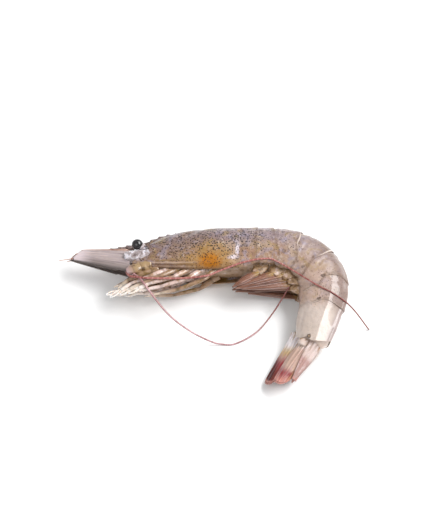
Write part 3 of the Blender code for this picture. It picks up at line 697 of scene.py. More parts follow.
def rings_to_solid(rings, values):
    """A closed bmesh through rings of points. values gives each ring's attributes by name."""
    bm = bmesh.new()
    layers = {name: bm.verts.layers.float.new(name) for name in values[0]}
    bmesh.ops.create_circle(bm, segments=len(rings[0]), radius=1.0, cap_ends=True)
    bm.verts.ensure_lookup_table()
    edges, verts = list(bm.edges), list(bm.verts)
    for index, (ring, value) in enumerate(zip(rings, values)):
        if index:
            grown = bmesh.ops.extrude_edge_only(bm, edges=edges)["geom"]
            verts = [item for item in grown if isinstance(item, bmesh.types.BMVert)]
            fresh = set(verts)
            edges = [
                item
                for item in grown
                if isinstance(item, bmesh.types.BMEdge) and fresh.issuperset(item.verts)
            ]
        for vert, point in zip(verts, ring):
            vert.co = point
            for name, layer in layers.items():
                vert[layer] = value[name]
    bmesh.ops.holes_fill(bm, edges=edges, sides=0)
    bmesh.ops.recalc_face_normals(bm, faces=bm.faces)
    return bm


# How near its joints the first and last ring of a length of limb are, as a share of it
JOINT_INSET = 0.04


def limb_solid(points, radii, flat=1.0, sides=12, facing=UP, pinch=0.14, rings_each=5):
    """A jointed limb through its joints. It narrows at each joint and is flat times as thick as wide."""
    lengths = [(b - a).length for a, b in zip(points, points[1:])]
    total = sum(lengths)
    shares = [(step + 0.5) / rings_each for step in range(rings_each)]
    shares[0], shares[-1] = JOINT_INSET, 1.0 - JOINT_INSET
    rings, values, walked = [], [], 0.0
    for index, (start, end) in enumerate(zip(points, points[1:])):
        for step, share in enumerate(shares):
            way = (end - start).normalized()
            if step == 0 and index:
                way = (way + (start - points[index - 1]).normalized()).normalized()
            if step == rings_each - 1 and index < len(points) - 2:
                way = (way + (points[index + 2] - end).normalized()).normalized()
            wide = way.cross(facing).normalized()
            thick = wide.cross(way)
            at_joint = abs(2.0 * share - 1.0) ** 4
            inner = 0 < index < len(points) - 1 or step > 0
            radius = radii[index] + (radii[index + 1] - radii[index]) * share
            radius *= 1.0 - (pinch * at_joint if inner else 0.0)
            rings.append(oval(start.lerp(end, share), radius * wide, radius * flat * thick, sides))
            values.append({"along": (walked + share * lengths[index]) / total, "joint": at_joint})
        walked += lengths[index]
    return rings_to_solid(rings, values)


def whip_solid(points, radii, sides=8):
    """A smooth round whip along many points."""
    rings, values = [], []
    last = len(points) - 1
    for index, (point, radius) in enumerate(zip(points, radii)):
        way = (points[min(index + 1, last)] - points[max(index - 1, 0)]).normalized()
        wide = way.cross(UP).normalized()
        thick = wide.cross(way)
        rings.append(oval(point, radius * wide, radius * thick, sides))
        values.append({"along": index / last, "joint": 0.0})
    return rings_to_solid(rings, values)


def smooth_route(points, count):
    """Points evenly spread in number along a smooth curve through the given ones."""
    ends = [2 * points[0] - points[1], *points, 2 * points[-1] - points[-2]]
    route = []
    for index in range(count):
        place = index / (count - 1) * (len(points) - 1)
        leg = min(int(place), len(points) - 2)
        t = place - leg
        p0, p1, p2, p3 = ends[leg : leg + 4]
        route.append(
            0.5
            * (
                2 * p1
                + (p2 - p0) * t
                + (2 * p0 - 5 * p1 + 4 * p2 - p3) * t * t
                + (3 * p1 - p0 - 3 * p2 + p3) * t**3
            )
        )
    return route


def hairs(name, roots, ends, radius, material, along_across):
    """Stiff fringe hairs, each a thin cone from its root to its end."""
    bm = bmesh.new()
    along = bm.verts.layers.float.new("along")
    across = bm.verts.layers.float.new("across")
    for root, end in zip(roots, ends):
        run = end - root
        turn = run.to_track_quat("Z", "Y").to_matrix().to_4x4()
        turn.translation = root + run / 2.0
        cone = bmesh.ops.create_cone(
            bm, segments=5, radius1=radius, radius2=radius * 0.3, depth=run.length, matrix=turn, cap_ends=True
        )
        for vert in cone["verts"]:
            vert[along], vert[across] = along_across
    return finish_piece(bm, name, material)


# Body --------------------------------------------------------------------------

SHELL_WALL = 0.35
FLESH_SHARE = 0.93
BELLY_SHARE = 0.74
SHELL_DENTS = 0.14
TRUNK_RADIUS = 9.5
CARAPACE_LAP = 0.6

# Grooves and ridges of the carapace: corners as (station, angle), half width and depth
CARAPACE_FOLDS = (
    (((22.0, 64.0), (17.0, 38.0), (11.0, 16.0), (6.0, 8.0)), 1.7, 0.38),
    (((14.0, 2.0), (6.0, -10.0), (2.0, -14.0)), 1.4, 0.3),
    (((37.0, 34.0), (37.0, 8.0), (36.6, -12.0), (34.4, -38.0)), 1.4, 0.5),
    (((2.0, -36.0), (14.0, -39.0), (26.0, -37.0), (36.0, -38.0)), 1.5, -0.35),
    (((24.0, -6.0), (30.0, -4.0)), 3.4, -0.3),
)


def fold_height(station, angle):
    """How far the carapace stands out at a place, for its grooves and ridges."""
    stretch = math.radians(TRUNK_RADIUS)
    place = Vector((station, angle * stretch))
    height = 0.0
    for corners, half_width, depth in CARAPACE_FOLDS:
        stops = [Vector((along, around * stretch)) for along, around in corners]
        reach = math.inf
        for start, end in zip(stops, stops[1:]):
            run = end - start
            share = min(1.0, max(0.0, (place - start).dot(run) / run.length_squared))
            reach = min(reach, (place - start - share * run).length)
        height -= depth * math.exp(-((reach / half_width) ** 2))
    return height


def dent(point, size):
    """Soft random unevenness, from about -1 to 1, with lumps of that size."""
    return noise.noise(point / size)


def roughen(bm, height, size, middle):
    """Makes a piece uneven, outwards from its middle."""
    for vert in bm.verts:
        vert.co += height * dent(vert.co, size) * (vert.co - middle).normalized()


def shell_plate(name, material, rows, columns, edge_angle, place):
    """A shell plate, its low edge at edge_angle(share). place(share, angle, the same angle on the left flank)
    gives (station, point, millimetres to the rear edge, how pale the rim is)."""
    bm = grid(rows, columns)
    layers = [bm.verts.layers.float.new(layer) for layer in ("station", "angle", "edge", "rim")]
    for vert in bm.verts:
        share, across = vert.co.x, vert.co.y
        low = edge_angle(share)
        angle = -low + across * (180.0 + 2.0 * low)
        mirrored = angle if angle <= 90.0 else 180.0 - angle
        station, vert.co, to_rear, rim = place(share, angle, mirrored)
        to_low = (mirrored + low) * SKIN_RUN
        for layer, value in zip(layers, (station, mirrored, min(to_rear, to_low), rim)):
            vert[layer] = value
    return finish_piece(bm, name, material, SHELL_WALL, -1.0)


def make_carapace():
    """The one-piece shell of head and trunk, with its hood over the cheeks."""

    def edge_angle(share):
        return 57.0 - 12.0 * smooth_step((share - 0.86) / 0.14) - 5.0 * smooth_step(1.0 - share / 0.2)

    def place(share, angle, side_angle):
        spike = 1.9 * bump(side_angle, 30.0, 7.0) - 1.6 * bump(side_angle, 56.0, 22.0)
        station = share * (CARAPACE_LENGTH + CARAPACE_LAP)
        point = skin_point(station, angle)
        uneven = dent(point, 7.0) * SHELL_DENTS + dent(point, 2.2) * 0.05
        out = fold_height(station, side_angle) + uneven
        shift = 0.8 * bump(side_angle, 60.0, 60.0) * smooth_step((share - 0.7) / 0.3)
        shift -= spike * smooth_step(1.0 - share / 0.12)
        _, tailwards, _, _ = spine_frame(station)
        swell = 1.0 + 0.02 * smooth_step((share - 0.9) / 0.1) + 0.03 * smooth_step(1.0 - share / 0.04)
        point = skin_point(station, angle, swell, 1.0, out) + shift * tailwards
        return station, point, CARAPACE_LENGTH + CARAPACE_LAP - station, 0.2

    return shell_plate("carapace", DRAINED_SHELL, 150, 150, edge_angle, place)


# Where the rear edge of each tail plate runs, as (angle, station)
REAR_EDGES = (
    ((-56, 51.0), (-30, 53.2), (-12, 53.0), (2, 51.6), (40, 50.2), (92, 49.6)),
    ((-56, 60.0), (-30, 62.0), (-6, 61.2), (14, 59.2), (30, 59.0), (70, 58.2), (92, 58.6)),
    ((-56, 69.5), (-30, 70.6), (-10, 69.0), (10, 67.6), (32, 68.0), (82, 67.5)),
    ((-56, 77.0), (-36, 80.5), (-6, 79.6), (6, 78.8), (24, 75.6), (92, 77.2)),
    ((-56, 85.0), (-40, 88.0), (-16, 87.7), (4, 87.0), (24, 85.6), (92, 86.8)),
    ((-56, 100.0), (-34, 101.2), (-12, 102.0), (6, 101.6), (22, 102.9), (50, 102.5), (92, 100.9)),
)
# How far down each plate's lobes reach, how high its keel stands, and where its rim is pale, as (angle,
# half width)
TAIL_PLATES = (
    (46.0, 0.15, (60.0, 16.0)),
    (54.0, 0.15, (30.0, 44.0)),
    (54.0, 0.2, (52.0, 52.0)),
    (54.0, 0.4, (-16.0, 36.0)),
    (54.0, 0.5, (-8.0, 40.0)),
    (44.0, 0.65, (64.0, 70.0)),
)
# Water stands on these plates, and has run off the others
WET_PLATES = (0, 4, 5)
LAST_PLATE = 5
# Behind this station the last plate runs straight on over the roots of the fan
WRIST = 95.0
WRIST_TAPER = 0.026
# How much slimmer the last plate is at its middle, how much shorter on its far flank, and how uneven
LAST_PLATE_SLIMMER = 0.045
LAST_PLATE_SHORTER = 3.0
LAST_PLATE_UNEVENNESS = 0.3
# The tail's last plates are flatter between these angles
FACET_ANGLES = (36.0, 84.0)
FACET_START = 78.0
FACET_FLATNESS = 0.75


def make_tail_plate(index, rear_edge, lobe, keel, rim_reach):
    """One ring of the tail. Its front slides under the plate before it and its rear laps over."""
    start = JOINTS[index] - 2.0
    is_last = index == LAST_PLATE

    def edge_angle(share):
        corner = abs(2.0 * share - 1.12) ** 3.2
        return lobe - (8.0 if is_last else 16.0) * min(1.0, corner)

    def place(share, angle, side_angle):
        end = profile_at(rear_edge, side_angle)[0]
        if is_last:
            end -= LAST_PLATE_SHORTER * smooth_step((angle - 86.0) / 24.0)
        station = start + share * (end - start)
        to_rear = end - station
        swell = 0.952 + 0.048 * smooth_step((station - JOINTS[index] + 1.4) / 2.4)
        swell += 0.016 * smooth_step(1.0 - to_rear / 2.6)
        ridge = 0.15 * bump(side_angle, -8.0, 14.0) * smooth_step(share / 0.4) if is_last else 0.0
        hinge = 0.35 * bump(side_angle, HINGES[index][1], 12.0) * smooth_step(1.0 - to_rear / 2.0)
        furrow = -0.2 * math.exp(-(((share - 0.36) / 0.07) ** 2)) * smooth_step((side_angle + 30.0) / 50.0)
        point = skin_point(station, angle, swell)
        uneven = dent(point, 6.0) * SHELL_DENTS + dent(point, 1.9) * 0.05
        uneven *= LAST_PLATE_UNEVENNESS if is_last else 1.0
        belly = 1.0 + 0.05 * bump(share, 0.55, 0.5)
        out = keel * bump(side_angle, 90.0, 12.0) + ridge + hinge + furrow + uneven
        rim = 0.12 + (0.5 if index > 2 else 0.65) * bump(side_angle, *rim_reach)
        beyond = max(0.0, station - WRIST)
        station = min(station, WRIST)
        swell *= 1.0 - WRIST_TAPER * beyond
        if is_last:
            upper = smooth_step((side_angle - 30.0) / 50.0)
            swell *= 1.0 - LAST_PLATE_SLIMMER * bump(station, 90.0, 10.0) * upper
        point = skin_point(station, angle, swell, belly, out)
        first, last = FACET_ANGLES
        if first < side_angle < last:
            mirror = 180.0 if angle > 90.0 else 0.0
            ends = [skin_point(station, abs(mirror - turn), swell, belly, out) for turn in FACET_ANGLES]
            share_round = (side_angle - first) / (last - first)
            flat = FACET_FLATNESS * smooth_step((station + beyond - FACET_START) / 6.0)
            point = point.lerp(ends[0].lerp(ends[1], share_round), flat)
        return station + beyond, point + beyond * spine_frame(WRIST)[1], to_rear, rim

    rows = 80 if is_last else 56
    material = WET_SHELL if index in WET_PLATES else DRAINED_SHELL
    return shell_plate(f"tail_plate_{index + 1}", material, rows, 140, edge_angle, place)


# Where the flesh's rings are ahead of the eye socket and under the last plate
FLESH_FRONT = (-9.0, -8.0, -6.0, -4.0, -2.0, 0.0)
FLESH_REAR = (98.0, 100.0, 101.2, 101.8)
FLESH_SIDES = 56


def make_flesh():
    """Everything under the shell, in one piece: the head's front, the gills' cover and the belly."""
    rings, values = [], []
    for station in (*FLESH_FRONT, *(2.0 * step for step in range(1, 49)), *FLESH_REAR):
        taper = 0.86 if station < 0 else 1.0
        ring = []
        for side in range(FLESH_SIDES):
            angle = 360.0 * side / FLESH_SIDES
            swell = FLESH_SHARE * taper - 0.1 * smooth_step((station - 72.0) / 8.0)
            swell *= 1.0 - 0.2 * smooth_step((station - 100.0) / 2.0)
            belly = BELLY_SHARE if angle > 180.0 else 1.0
            cheek = 1.0 - abs(math.cos(math.radians(angle))) ** 3
            belly = 1.0 + (belly - 1.0) * cheek
            point = skin_point(station, angle, swell, belly)
            ring.append(point + 0.2 * dent(point, 2.5) * (point - at(station, 0, 0)).normalized())
        rings.append(ring)
        values.append({"along": station / 104.0, "joint": 0.0})
    bm = rings_to_solid(rings, values)
    return finish_piece(bm, "flesh", FLESH)


# Rostrum and eyes --------------------------------------------------------------

ROSTRUM_ROOT = 16.0
ROSTRUM_TEETH = 9
ROSTRUM_STEPS = 108
TOOTH_HEIGHT = 0.8


def make_rostrum():
    """The crest and the toothed spine that it runs into over the eyes, thin at the top edge."""
    run = ROSTRUM_ROOT + ROSTRUM_LENGTH
    rings, values = [], []
    for step in range(ROSTRUM_STEPS + 1):
        share = step / ROSTRUM_STEPS
        station = ROSTRUM_ROOT - share * run
        on_back = profile_at(BODY_PROFILE, max(station, -2.0))[0]
        top = on_back + 0.5 + 1.9 * math.sin(math.pi * min(1.0, share * 1.15)) - 0.6 * share
        tooth_place = (share - 0.08) / 0.84 * ROSTRUM_TEETH
        if 0.0 <= tooth_place < ROSTRUM_TEETH:
            saw = (tooth_place % 1.0) / 0.8
            rise = saw if saw <= 1.0 else max(0.0, 1.0 - (saw - 1.0) / 0.08)
            top += TOOTH_HEIGHT * (1.0 - 0.4 * int(tooth_place) / ROSTRUM_TEETH) * rise**1.5
        depth = 1.1 + 3.4 * (1.0 - share) ** 1.2 if share < 1.0 else 0.3
        half = 0.16 + 0.5 * (1.0 - share) ** 0.6
        tip = 1.0 - smooth_step((share - 0.9) / 0.1)
        depth, half = 0.25 + depth * (0.35 + 0.65 * tip), 0.08 + half * tip
        outline = ((0.0, 0.0), (0.35, 0.3), (0.75, 0.6), (1.0, 0.86), (0.8, 1.0), (0.0, 1.1))
        ring = [at(station, top - depth * down, half * wide) for wide, down in outline]
        ring += [at(station, top - depth * down, -half * wide) for wide, down in reversed(outline[1:-1])]
        rings.append(ring)
        values.append({"station": station, "angle": 80.0, "edge": 3.0, "rim": 0.0})
    return finish_piece(rings_to_solid(rings, values), "rostrum", DRAINED_SHELL)


def make_eye(side_name, side):
    """A ball on its stalk, beside the root of the rostrum."""
    middle = at(-4.4, 4.0, side * 4.2)
    bm = bmesh.new()
    bmesh.ops.create_uvsphere(bm, u_segments=40, v_segments=24, radius=EYE_DIAMETER / 2.0)
    bmesh.ops.scale(bm, vec=(1.0, 0.94, 0.92), verts=bm.verts)
    bmesh.ops.translate(bm, vec=middle, verts=bm.verts)
    finish_piece(bm, f"eye_{side_name}", EYE)
    stalk = [at(0.6, 2.0, side * 1.8), at(-1.4, 2.8, side * 2.7), at(-3.2, 3.5, side * 3.7)]
    bm = limb_solid(stalk, (1.5, 1.4, 1.9), 0.9, 16)
    finish_piece(bm, f"eye_stalk_{side_name}", JOINT)


# Blades beside the rostrum -----------------------------------------------------

# The station of its root, then its upper and lower edge as (back at the root, back at the tip)
SCALE_ROOT = -7.5
SCALE_TOP = (2.2, 4.6)
SCALE_BOTTOM = (-8.2, -0.3)
SCALE_TIP_START = 0.77
SCALE_TIP_FALL = 4.1
SCALE_OUT = (3.6, 0.9)
SCALE_BOW = 0.8
SCALE_WALL = 0.4
RIGHT_SCALE_RAISE = 0.9
RIGHT_SCALE_AHEAD = 1.2
FRINGE_HAIRS = 90


def between(ends, share):
    """The value a share of the way from the first of two ends to the second."""
    return ends[0] + (ends[1] - ends[0]) * share


def scale_point(side, u, v):
    """A point of the blade's middle: u from root to tip, v from -1 at its lower edge to 1 on its rim."""
    raised, ahead = (0.0, 0.0) if side > 0 else (RIGHT_SCALE_RAISE, RIGHT_SCALE_AHEAD)
    tip = max(0.0, u - SCALE_TIP_START) / (1.0 - SCALE_TIP_START)
    top = between(SCALE_TOP, u) - SCALE_TIP_FALL * tip**2.4
    bottom = between(SCALE_BOTTOM, u) + raised * (1.0 - 0.6 * u)
    left = between(SCALE_OUT, u) - SCALE_BOW * v * v
    ridges = 0.14 * math.sin(10.0 * v + 1.5 * u) * (1.0 - abs(v)) + 0.25 * bump(v, 0.25, 0.14)
    back = bottom + (top - bottom) * (1.0 + v) / 2.0
    return at(SCALE_ROOT - u * (SCALE_LENGTH + ahead), back, side * (left + ridges))


def make_scale(side_name, side):
    """The thin blade, its stiff rim that ends in a spine, and the hairs of its lower edge."""
    bm = plate_sheet(90, 44, partial(scale_point, side), side)
    finish_piece(bm, f"scale_{side_name}", BLADE, SCALE_WALL)
    rim = [scale_point(side, 0.03 + 0.07 * step, 0.98) for step in range(12)]
    rim.append(scale_point(side, 0.85, 1.0) + Vector((-0.6, 0.2, 0.0)))
    radii = [0.5 - 0.02 * step for step in range(12)] + [0.1]
    finish_piece(whip_solid(rim, radii), f"scale_rim_{side_name}", WHIP)
    roots, ends = [], []
    for step in range(FRINGE_HAIRS):
        u = 0.2 + 0.78 * step / (FRINGE_HAIRS - 1)
        root = scale_point(side, u, -0.99)
        outward = (scale_point(side, u, -1.0) - scale_point(side, u, -0.8)).normalized()
        roots.append(root)
        ends.append(root + 0.5 * outward + Vector((-0.9 - 0.5 * u, 0.0, 0.0)))
    hairs(f"scale_fringe_{side_name}", roots, ends, 0.1, BLADE, (0.5, -1.0))


def make_scale_root(side_name, side):
    """The swollen joint between the carapace and the blade."""
    raised = 0.0 if side > 0 else RIGHT_SCALE_RAISE
    rows = ((1.8, 2.2), (-1.6, 2.9), (-5.4, 3.1), (-9.8, 3.0))
    points = [at(station, -1.2 + raised, side * left) for station, left in rows]
    bm = limb_solid(points, (3.3, 3.3, 3.0, 1.9), 0.84, 24, pinch=0.12, rings_each=8)
    roughen(bm, 0.4, 1.5, points[1])
    return finish_piece(bm, f"scale_root_{side_name}", JOINT)


# Antennules: stem as (station, back, left) with radii, and where each of their two whips ends
ANTENNULE_STEM = ((-3.0, 0.8, 1.5), (-8.0, 0.9, 1.5), (-13.0, 0.9, 1.3), (-17.0, 0.9, 1.1))
ANTENNULE_WHIPS = ((-36.0, -0.5, 0.4), (-29.5, 2.2, 0.9))
RIGHT_WHIPS_SHORTER = 3.0


def make_antennule(side_name, side):
    """A jointed stem between the blades, with two short whips."""
    stem = [at(station, back, side * left) for station, back, left in ANTENNULE_STEM]
    finish_piece(limb_solid(stem, (1.7, 1.5, 1.3, 1.0), 0.85, 14), f"antennule_{side_name}", STEM)
    shorter = 0.0 if side > 0 else RIGHT_WHIPS_SHORTER
    radii = [0.46 - 0.008 * step for step in range(40)]
    for whip, (station, back, left) in enumerate(ANTENNULE_WHIPS):
        root = stem[-1].lerp(stem[-2], 0.3)
        end = at(station + shorter, back, side * left)
        middle = root.lerp(end, 0.5) + Vector((0.0, 0.4, 0.0))
        route = smooth_route([root, middle, end], 40)
        finish_piece(whip_solid(route, radii), f"antennule_whip_{side_name}_{whip}", WHIP)


# Roots of the long feelers, as (station, back), the last row being where the whip starts
PEDUNCLE = ((1.0, -5.4), (-3.0, -6.6), (-6.0, -7.8), (-8.8, -8.8))
FEELER_ROOT_OUT = 4.0


def make_peduncle(side_name, side):
    """The thick jointed root of a long feeler."""
    points = [at(station, back, side * FEELER_ROOT_OUT) for station, back in PEDUNCLE]
    bm = limb_solid(points, (2.5, 2.2, 2.3, 1.5), 0.72, 24, pinch=0.1, rings_each=9)
    roughen(bm, 0.55, 2.0, points[1])
    return finish_piece(bm, f"peduncle_{side_name}", ROOT)


# Legs --------------------------------------------------------------------------

# Root station, knee, wrist and tip as (station, back, left), and girth; the first row is a mouth limb
LEGS = (
    (4.0, (-4.0, -10.2, 3.6), (-8.0, -11.6, 2.8), (-12.5, -14.8, 1.0), 1.0),
    (9.0, (0.5, -11.4, 4.6), (-6.6, -13.6, 3.4), (-15.4, -18.4, 0.6), 0.85),
    (13.5, (4.5, -11.8, 5.2), (-3.4, -14.6, 4.0), (-11.5, -18.0, 1.8), 0.9),
    (18.0, (10.0, -12.4, 5.4), (0.5, -14.6, 4.4), (-8.0, -17.8, 2.6), 0.95),
    (23.0, (16.0, -13.0, 5.4), (5.0, -16.0, 4.2), (-5.0, -17.0, 2.6), 1.0),
    (28.0, (22.0, -13.8, 5.2), (11.5, -17.4, 3.8), (-0.5, -18.8, 1.8), 0.95),
)
LEG_ROOT_BACK = -7.0
LEG_ROOT_LEFT = 3.4
RIGHT_LEG_AHEAD = 1.6
RIGHT_LEG_RAISE = 2.0
CLAWED = (1, 2, 3)
OLIVE_LEGS = (0, 2, 5)


def make_leg(index, side_name, side, row):
    """A leg of five joints. The first three walking legs end in a small claw, the others in a point."""
    root_station, knee, wrist, tip, girth = row
    ahead, raised = (0.0, 0.0) if side > 0 else (RIGHT_LEG_AHEAD, RIGHT_LEG_RAISE)
    root = at(root_station, LEG_ROOT_BACK, side * LEG_ROOT_LEFT)
    stops = [at(stop[0] - ahead, stop[1] + raised, side * stop[2]) for stop in (knee, wrist, tip)]
    hip = root.lerp(stops[0], 0.36)
    palm = stops[1].lerp(stops[2], 0.55)
    points = [root, hip, stops[0], stops[1], palm, stops[2]]
    radii = [1.75, 1.35, 1.02, 0.82, 0.7, 0.16]
    if index in CLAWED:
        points, radii = points[:5], [1.75, 1.35, 0.98, 0.84, 1.0]
    material = LEG_OLIVE if index in OLIVE_LEGS else LEG_PALE
    bm = limb_solid(points, [radius * girth for radius in radii], 0.78, 14, pinch=0.24, rings_each=6)
    finish_piece(bm, f"leg_{index}_{side_name}", material)
    if index in CLAWED:
        run = stops[2] - palm
        aside = run.cross(UP).normalized()
        for finger, lean in (("fixed", 0.32), ("moving", -0.32)):
            start = palm - 0.1 * run + aside * lean * girth
            bow = palm + 0.5 * run + aside * lean * 2.2 * girth
            route = smooth_route([start, bow, stops[2] + aside * lean * 0.5], 12)
            thick = [girth * (0.62 - 0.45 * step / 11) for step in range(12)]
            finger_name = f"leg_{index}_{side_name}_{finger}_finger"
            finish_piece(whip_solid(route, thick, 10), finger_name, CLAW)


# Swimmerets --------------------------------------------------------------------

# All the blades point to one meeting place, given as (station, back)
SWIM_ROOT_BACK = -3.6
SWIM_ROOT_LEFT = 3.6
SWIM_MEETING = (33.2, -15.9)
SWIM_MEETING_LEFT = 2.4
RIGHT_SWIM_RAISE = 1.8
SWIM_STEM_REACH = (7.8, 3.2, 0.9)
SWIM_BLADE_LENGTH = 24.0
SWIM_WIDTH = 3.4
SWIM_WALL = 0.3
SWIM_UNEVENNESS = 0.05
# Each stem carries two blades: name, length share, width share, sideways shift
SWIM_BLADES = (("outer", 1.0, 1.0, 0.35), ("inner", 0.8, 0.75, -0.8))


def swim_blade_point(knee, run, reach, width, shift, side, u, v):
    """A point of a swimmeret's blade: u from root to tip, v from -1 to 1 across it."""
    half = SWIM_WIDTH / 2.0 * width * (0.6 + 1.6 * u * (1.0 - u)) * (1.0 - 0.85 * u**3)
    ribs = 0.12 * math.sin(11.0 * v) * (1.0 - abs(v)) + 0.2 * bump(v, 0.0, 0.16)
    rise = 0.9 * math.sin(math.pi * u) - 0.8 * v * v * (1.0 - 0.5 * u) + ribs
    rise += side * shift * (1.0 - 0.6 * u)
    sideways = run.cross(UP).normalized()
    place = knee - 0.1 * run + 1.1 * reach * run * u
    return place + sideways * (v * half + shift * (1.0 - u)) + rise * UP


def make_swimmeret(index, side_name, side):
    """A stout stem with an outer blade and a smaller inner one, swept forwards."""
    station = JOINTS[index] + 0.4 * SEGMENT_LENGTHS[index]
    root = at(station, SWIM_ROOT_BACK, side * SWIM_ROOT_LEFT)
    meeting = at(*SWIM_MEETING, side * SWIM_MEETING_LEFT) + Vector((0.0, -0.3 * index, 0.0))
    if side < 0:
        meeting.y += RIGHT_SWIM_RAISE
    _, tailwards, to_back, to_left = spine_frame(station)
    down, forwards, outwards = SWIM_STEM_REACH
    knee = root - down * to_back - forwards * tailwards + side * outwards * to_left
    stem = [root, root.lerp(knee, 0.5), knee]
    bm = limb_solid(stem, (2.9, 3.1, 1.9), 0.32, 20, to_left, pinch=0.02, rings_each=8)
    for vert in bm.verts:
        vert.co += 0.15 * dent(vert.co, 1.6) * to_left
    finish_piece(bm, f"swim_stem_{index + 1}_{side_name}", STEM)
    run = meeting - knee
    run *= min(1.0, SWIM_BLADE_LENGTH / run.length)
    shorter = 1.0 - SWIM_UNEVENNESS * (2 * index % 5)
    for blade_name, reach, width, shift in SWIM_BLADES:
        point = partial(swim_blade_point, knee, run, reach * shorter, width, shift, side)
        bm = plate_sheet(50, 20, point, 1.7 * index + shift)
        finish_piece(bm, f"swimmeret_{index + 1}_{side_name}_{blade_name}", SWIM, SWIM_WALL)


# Tail fan ----------------------------------------------------------------------

# Its plates lie on a roof with a round ridge, at places measured around it from the ridge
FAN_ROOT = JOINTS[-1] + 0.5
FAN_RIDGE_BACK = 3.2
FAN_RIDGE_RADIUS = 4.2
TELSON_WIDTH = 6.4
TELSON_LIFT = 0.5
TELSON_WALL = 1.2
UROPOD_WIDTH = 8.0
UROPOD_END_SHARE = 0.92
UROPOD_START = -3.0
UROPOD_WALL = 0.5
UROPOD_HAIRS = 60
UROPOD_HAIR_LENGTH = 0.8
# Name, place around the ridge at the root and at the tip, lift off the roof, length share
UROPODS = (
    ("inner_left", 4.0, 3.9, -0.3, 0.94),
    ("outer_left", 10.4, 9.6, -0.9, 0.97),
    ("inner_right", -3.6, -2.0, -0.3, 0.71),
    ("outer_right", -4.6, -2.6, -0.9, 0.73),
)
# Ribs and grooves as (place across from -1 to 1, height)
TELSON_RIBS = ((-0.4, 0.4), (0.4, 0.4), (0.0, -0.5))
UROPOD_RIBS = ((0.62, -0.3), (0.45, 0.35), (0.0, 0.5), (-0.14, -0.35), (-0.5, 0.2))
# The block that carries the uropods, as (behind the fan's root, back, left)
UROPOD_STEM = ((-2.5, 0.2, 3.0), (1.5, 0.2, 3.5), (4.5, 0.4, 3.7))


def fan_point(run, around, lift):
    """A point over the fan: so far along it, so far around from the ridge (left positive), lifted off it."""
    angle = min(abs(around) / FAN_RIDGE_RADIUS, math.pi / 2.0)
    below = max(0.0, abs(around) - FAN_RIDGE_RADIUS * math.pi / 2.0)
    left = (FAN_RIDGE_RADIUS + lift) * math.sin(angle)
    back = FAN_RIDGE_BACK - FAN_RIDGE_RADIUS + (FAN_RIDGE_RADIUS + lift) * math.cos(angle) - below
    return at(FAN_ROOT + run, back, math.copysign(left, around))


def ribbing(ribs, v):
    """Height of a plate's ribs and grooves at a place across it."""
    return sum(height * math.exp(-(((v - middle) / 0.08) ** 2)) for middle, height in ribs)


def telson_point(u, v):
    """A point of the telson: u from root to tip, v from its right edge at -1 to its left at 1."""
    half = TELSON_WIDTH / 2.0 * (1.0 - 0.86 * u**1.8)
    lift = TELSON_LIFT - 0.4 * u + ribbing(TELSON_RIBS, v) * (1.0 - 0.7 * u)
    return fan_point(u * TELSON_LENGTH, v * half, lift)


def uropod_point(root_place, tip_place, lift, length_share, side, u, v):
    """A point of a uropod: u from root to tip, v from its inner edge at -1 to its outer edge at 1."""
    end = max(0.0, u - 0.8) / 0.2
    far_half = smooth_step((u - 0.5) / 0.5)
    swell = (0.84 + 0.16 * smooth_step(u / 0.6)) * (1.0 - (1.0 - UROPOD_END_SHARE) * end * end)
    reach = u - (0.055 * abs(v) ** 2.6 + 0.1 * max(0.0, -v) ** 1.6) * far_half
    around = between((root_place, tip_place), u) + side * v * UROPOD_WIDTH / 2.0 * swell
    ridge = ribbing(UROPOD_RIBS, v) * (1.0 - 0.6 * u) + 0.12 * math.sin(24.0 * v) * far_half
    run = between((UROPOD_START, length_share * UROPOD_LENGTH), reach)
    return fan_point(run, around, lift - 0.3 * u + ridge)


def make_tail_fan():
    """The telson on top, an inner and an outer uropod on each side, and the blocks that carry them."""
    finish_piece(plate_sheet(90, 60, telson_point, 0.0), "telson", TELSON, TELSON_WALL)
    for number, (name, *places) in enumerate(UROPODS):
        side = math.copysign(1.0, places[0])
        point = partial(uropod_point, *places, side)
        material = INNER_UROPOD if name.startswith("inner") else OUTER_UROPOD
        bm = plate_sheet(90, 60, point, 2.0 + number)
        finish_piece(bm, f"uropod_{name}", material, UROPOD_WALL)
        if name.startswith("outer") or side > 0:
            spots = [2.0 * step / (UROPOD_HAIRS - 1) - 1.0 for step in range(UROPOD_HAIRS)]
            roots = [point(1.0, 0.96 * spot) for spot in spots]
            ways = [(root - point(0.9, 0.9 * spot)).normalized() for root, spot in zip(roots, spots)]
            ends = [root + UROPOD_HAIR_LENGTH * way for root, way in zip(roots, ways)]
            hairs(f"uropod_fringe_{name}", roots, ends, 0.09, material, (1.0, 0.0))
    for side_name, side in SIDES:
        stem = [at(FAN_ROOT + station, back, side * left) for station, back, left in UROPOD_STEM]
        bm = limb_solid(stem, (2.6, 2.5, 1.6), 0.85, 18, pinch=0.1, rings_each=6)
        finish_piece(bm, f"uropod_stem_{side_name}", FAN_STEM)


# Long feelers ------------------------------------------------------------------

# Corners of each route on the table, ahead of and beside the eye socket
LEFT_FEELER = (
    (-8.8, -9.0), (-6.5, -11.4), (0.0, -12.8), (12.3, -13.3), (22.6, -12.4),
    (28.7, -9.8), (37.0, -6.9), (46.0, -5.2), (50.5, -5.7), (57.4, -9.7),
    (69.7, -18.6), (80.8, -23.6), (88.0, -28.0),
)
RIGHT_FEELER = (
    (-8.8, -9.0), (-6.4, -9.6), (-3.7, -11.8), (-2.0, -14.1), (0.9, -17.6),
    (8.2, -25.3), (16.4, -30.6), (24.6, -34.0), (29.6, -34.7), (34.9, -34.3),
    (43.1, -29.7), (49.2, -22.9), (53.8, -16.6), (56.2, -13.8),
)
FEELER_ROOT_DIAMETER = 0.95
FEELER_TIP_DIAMETER = 0.55
FEELER_POINTS = 200
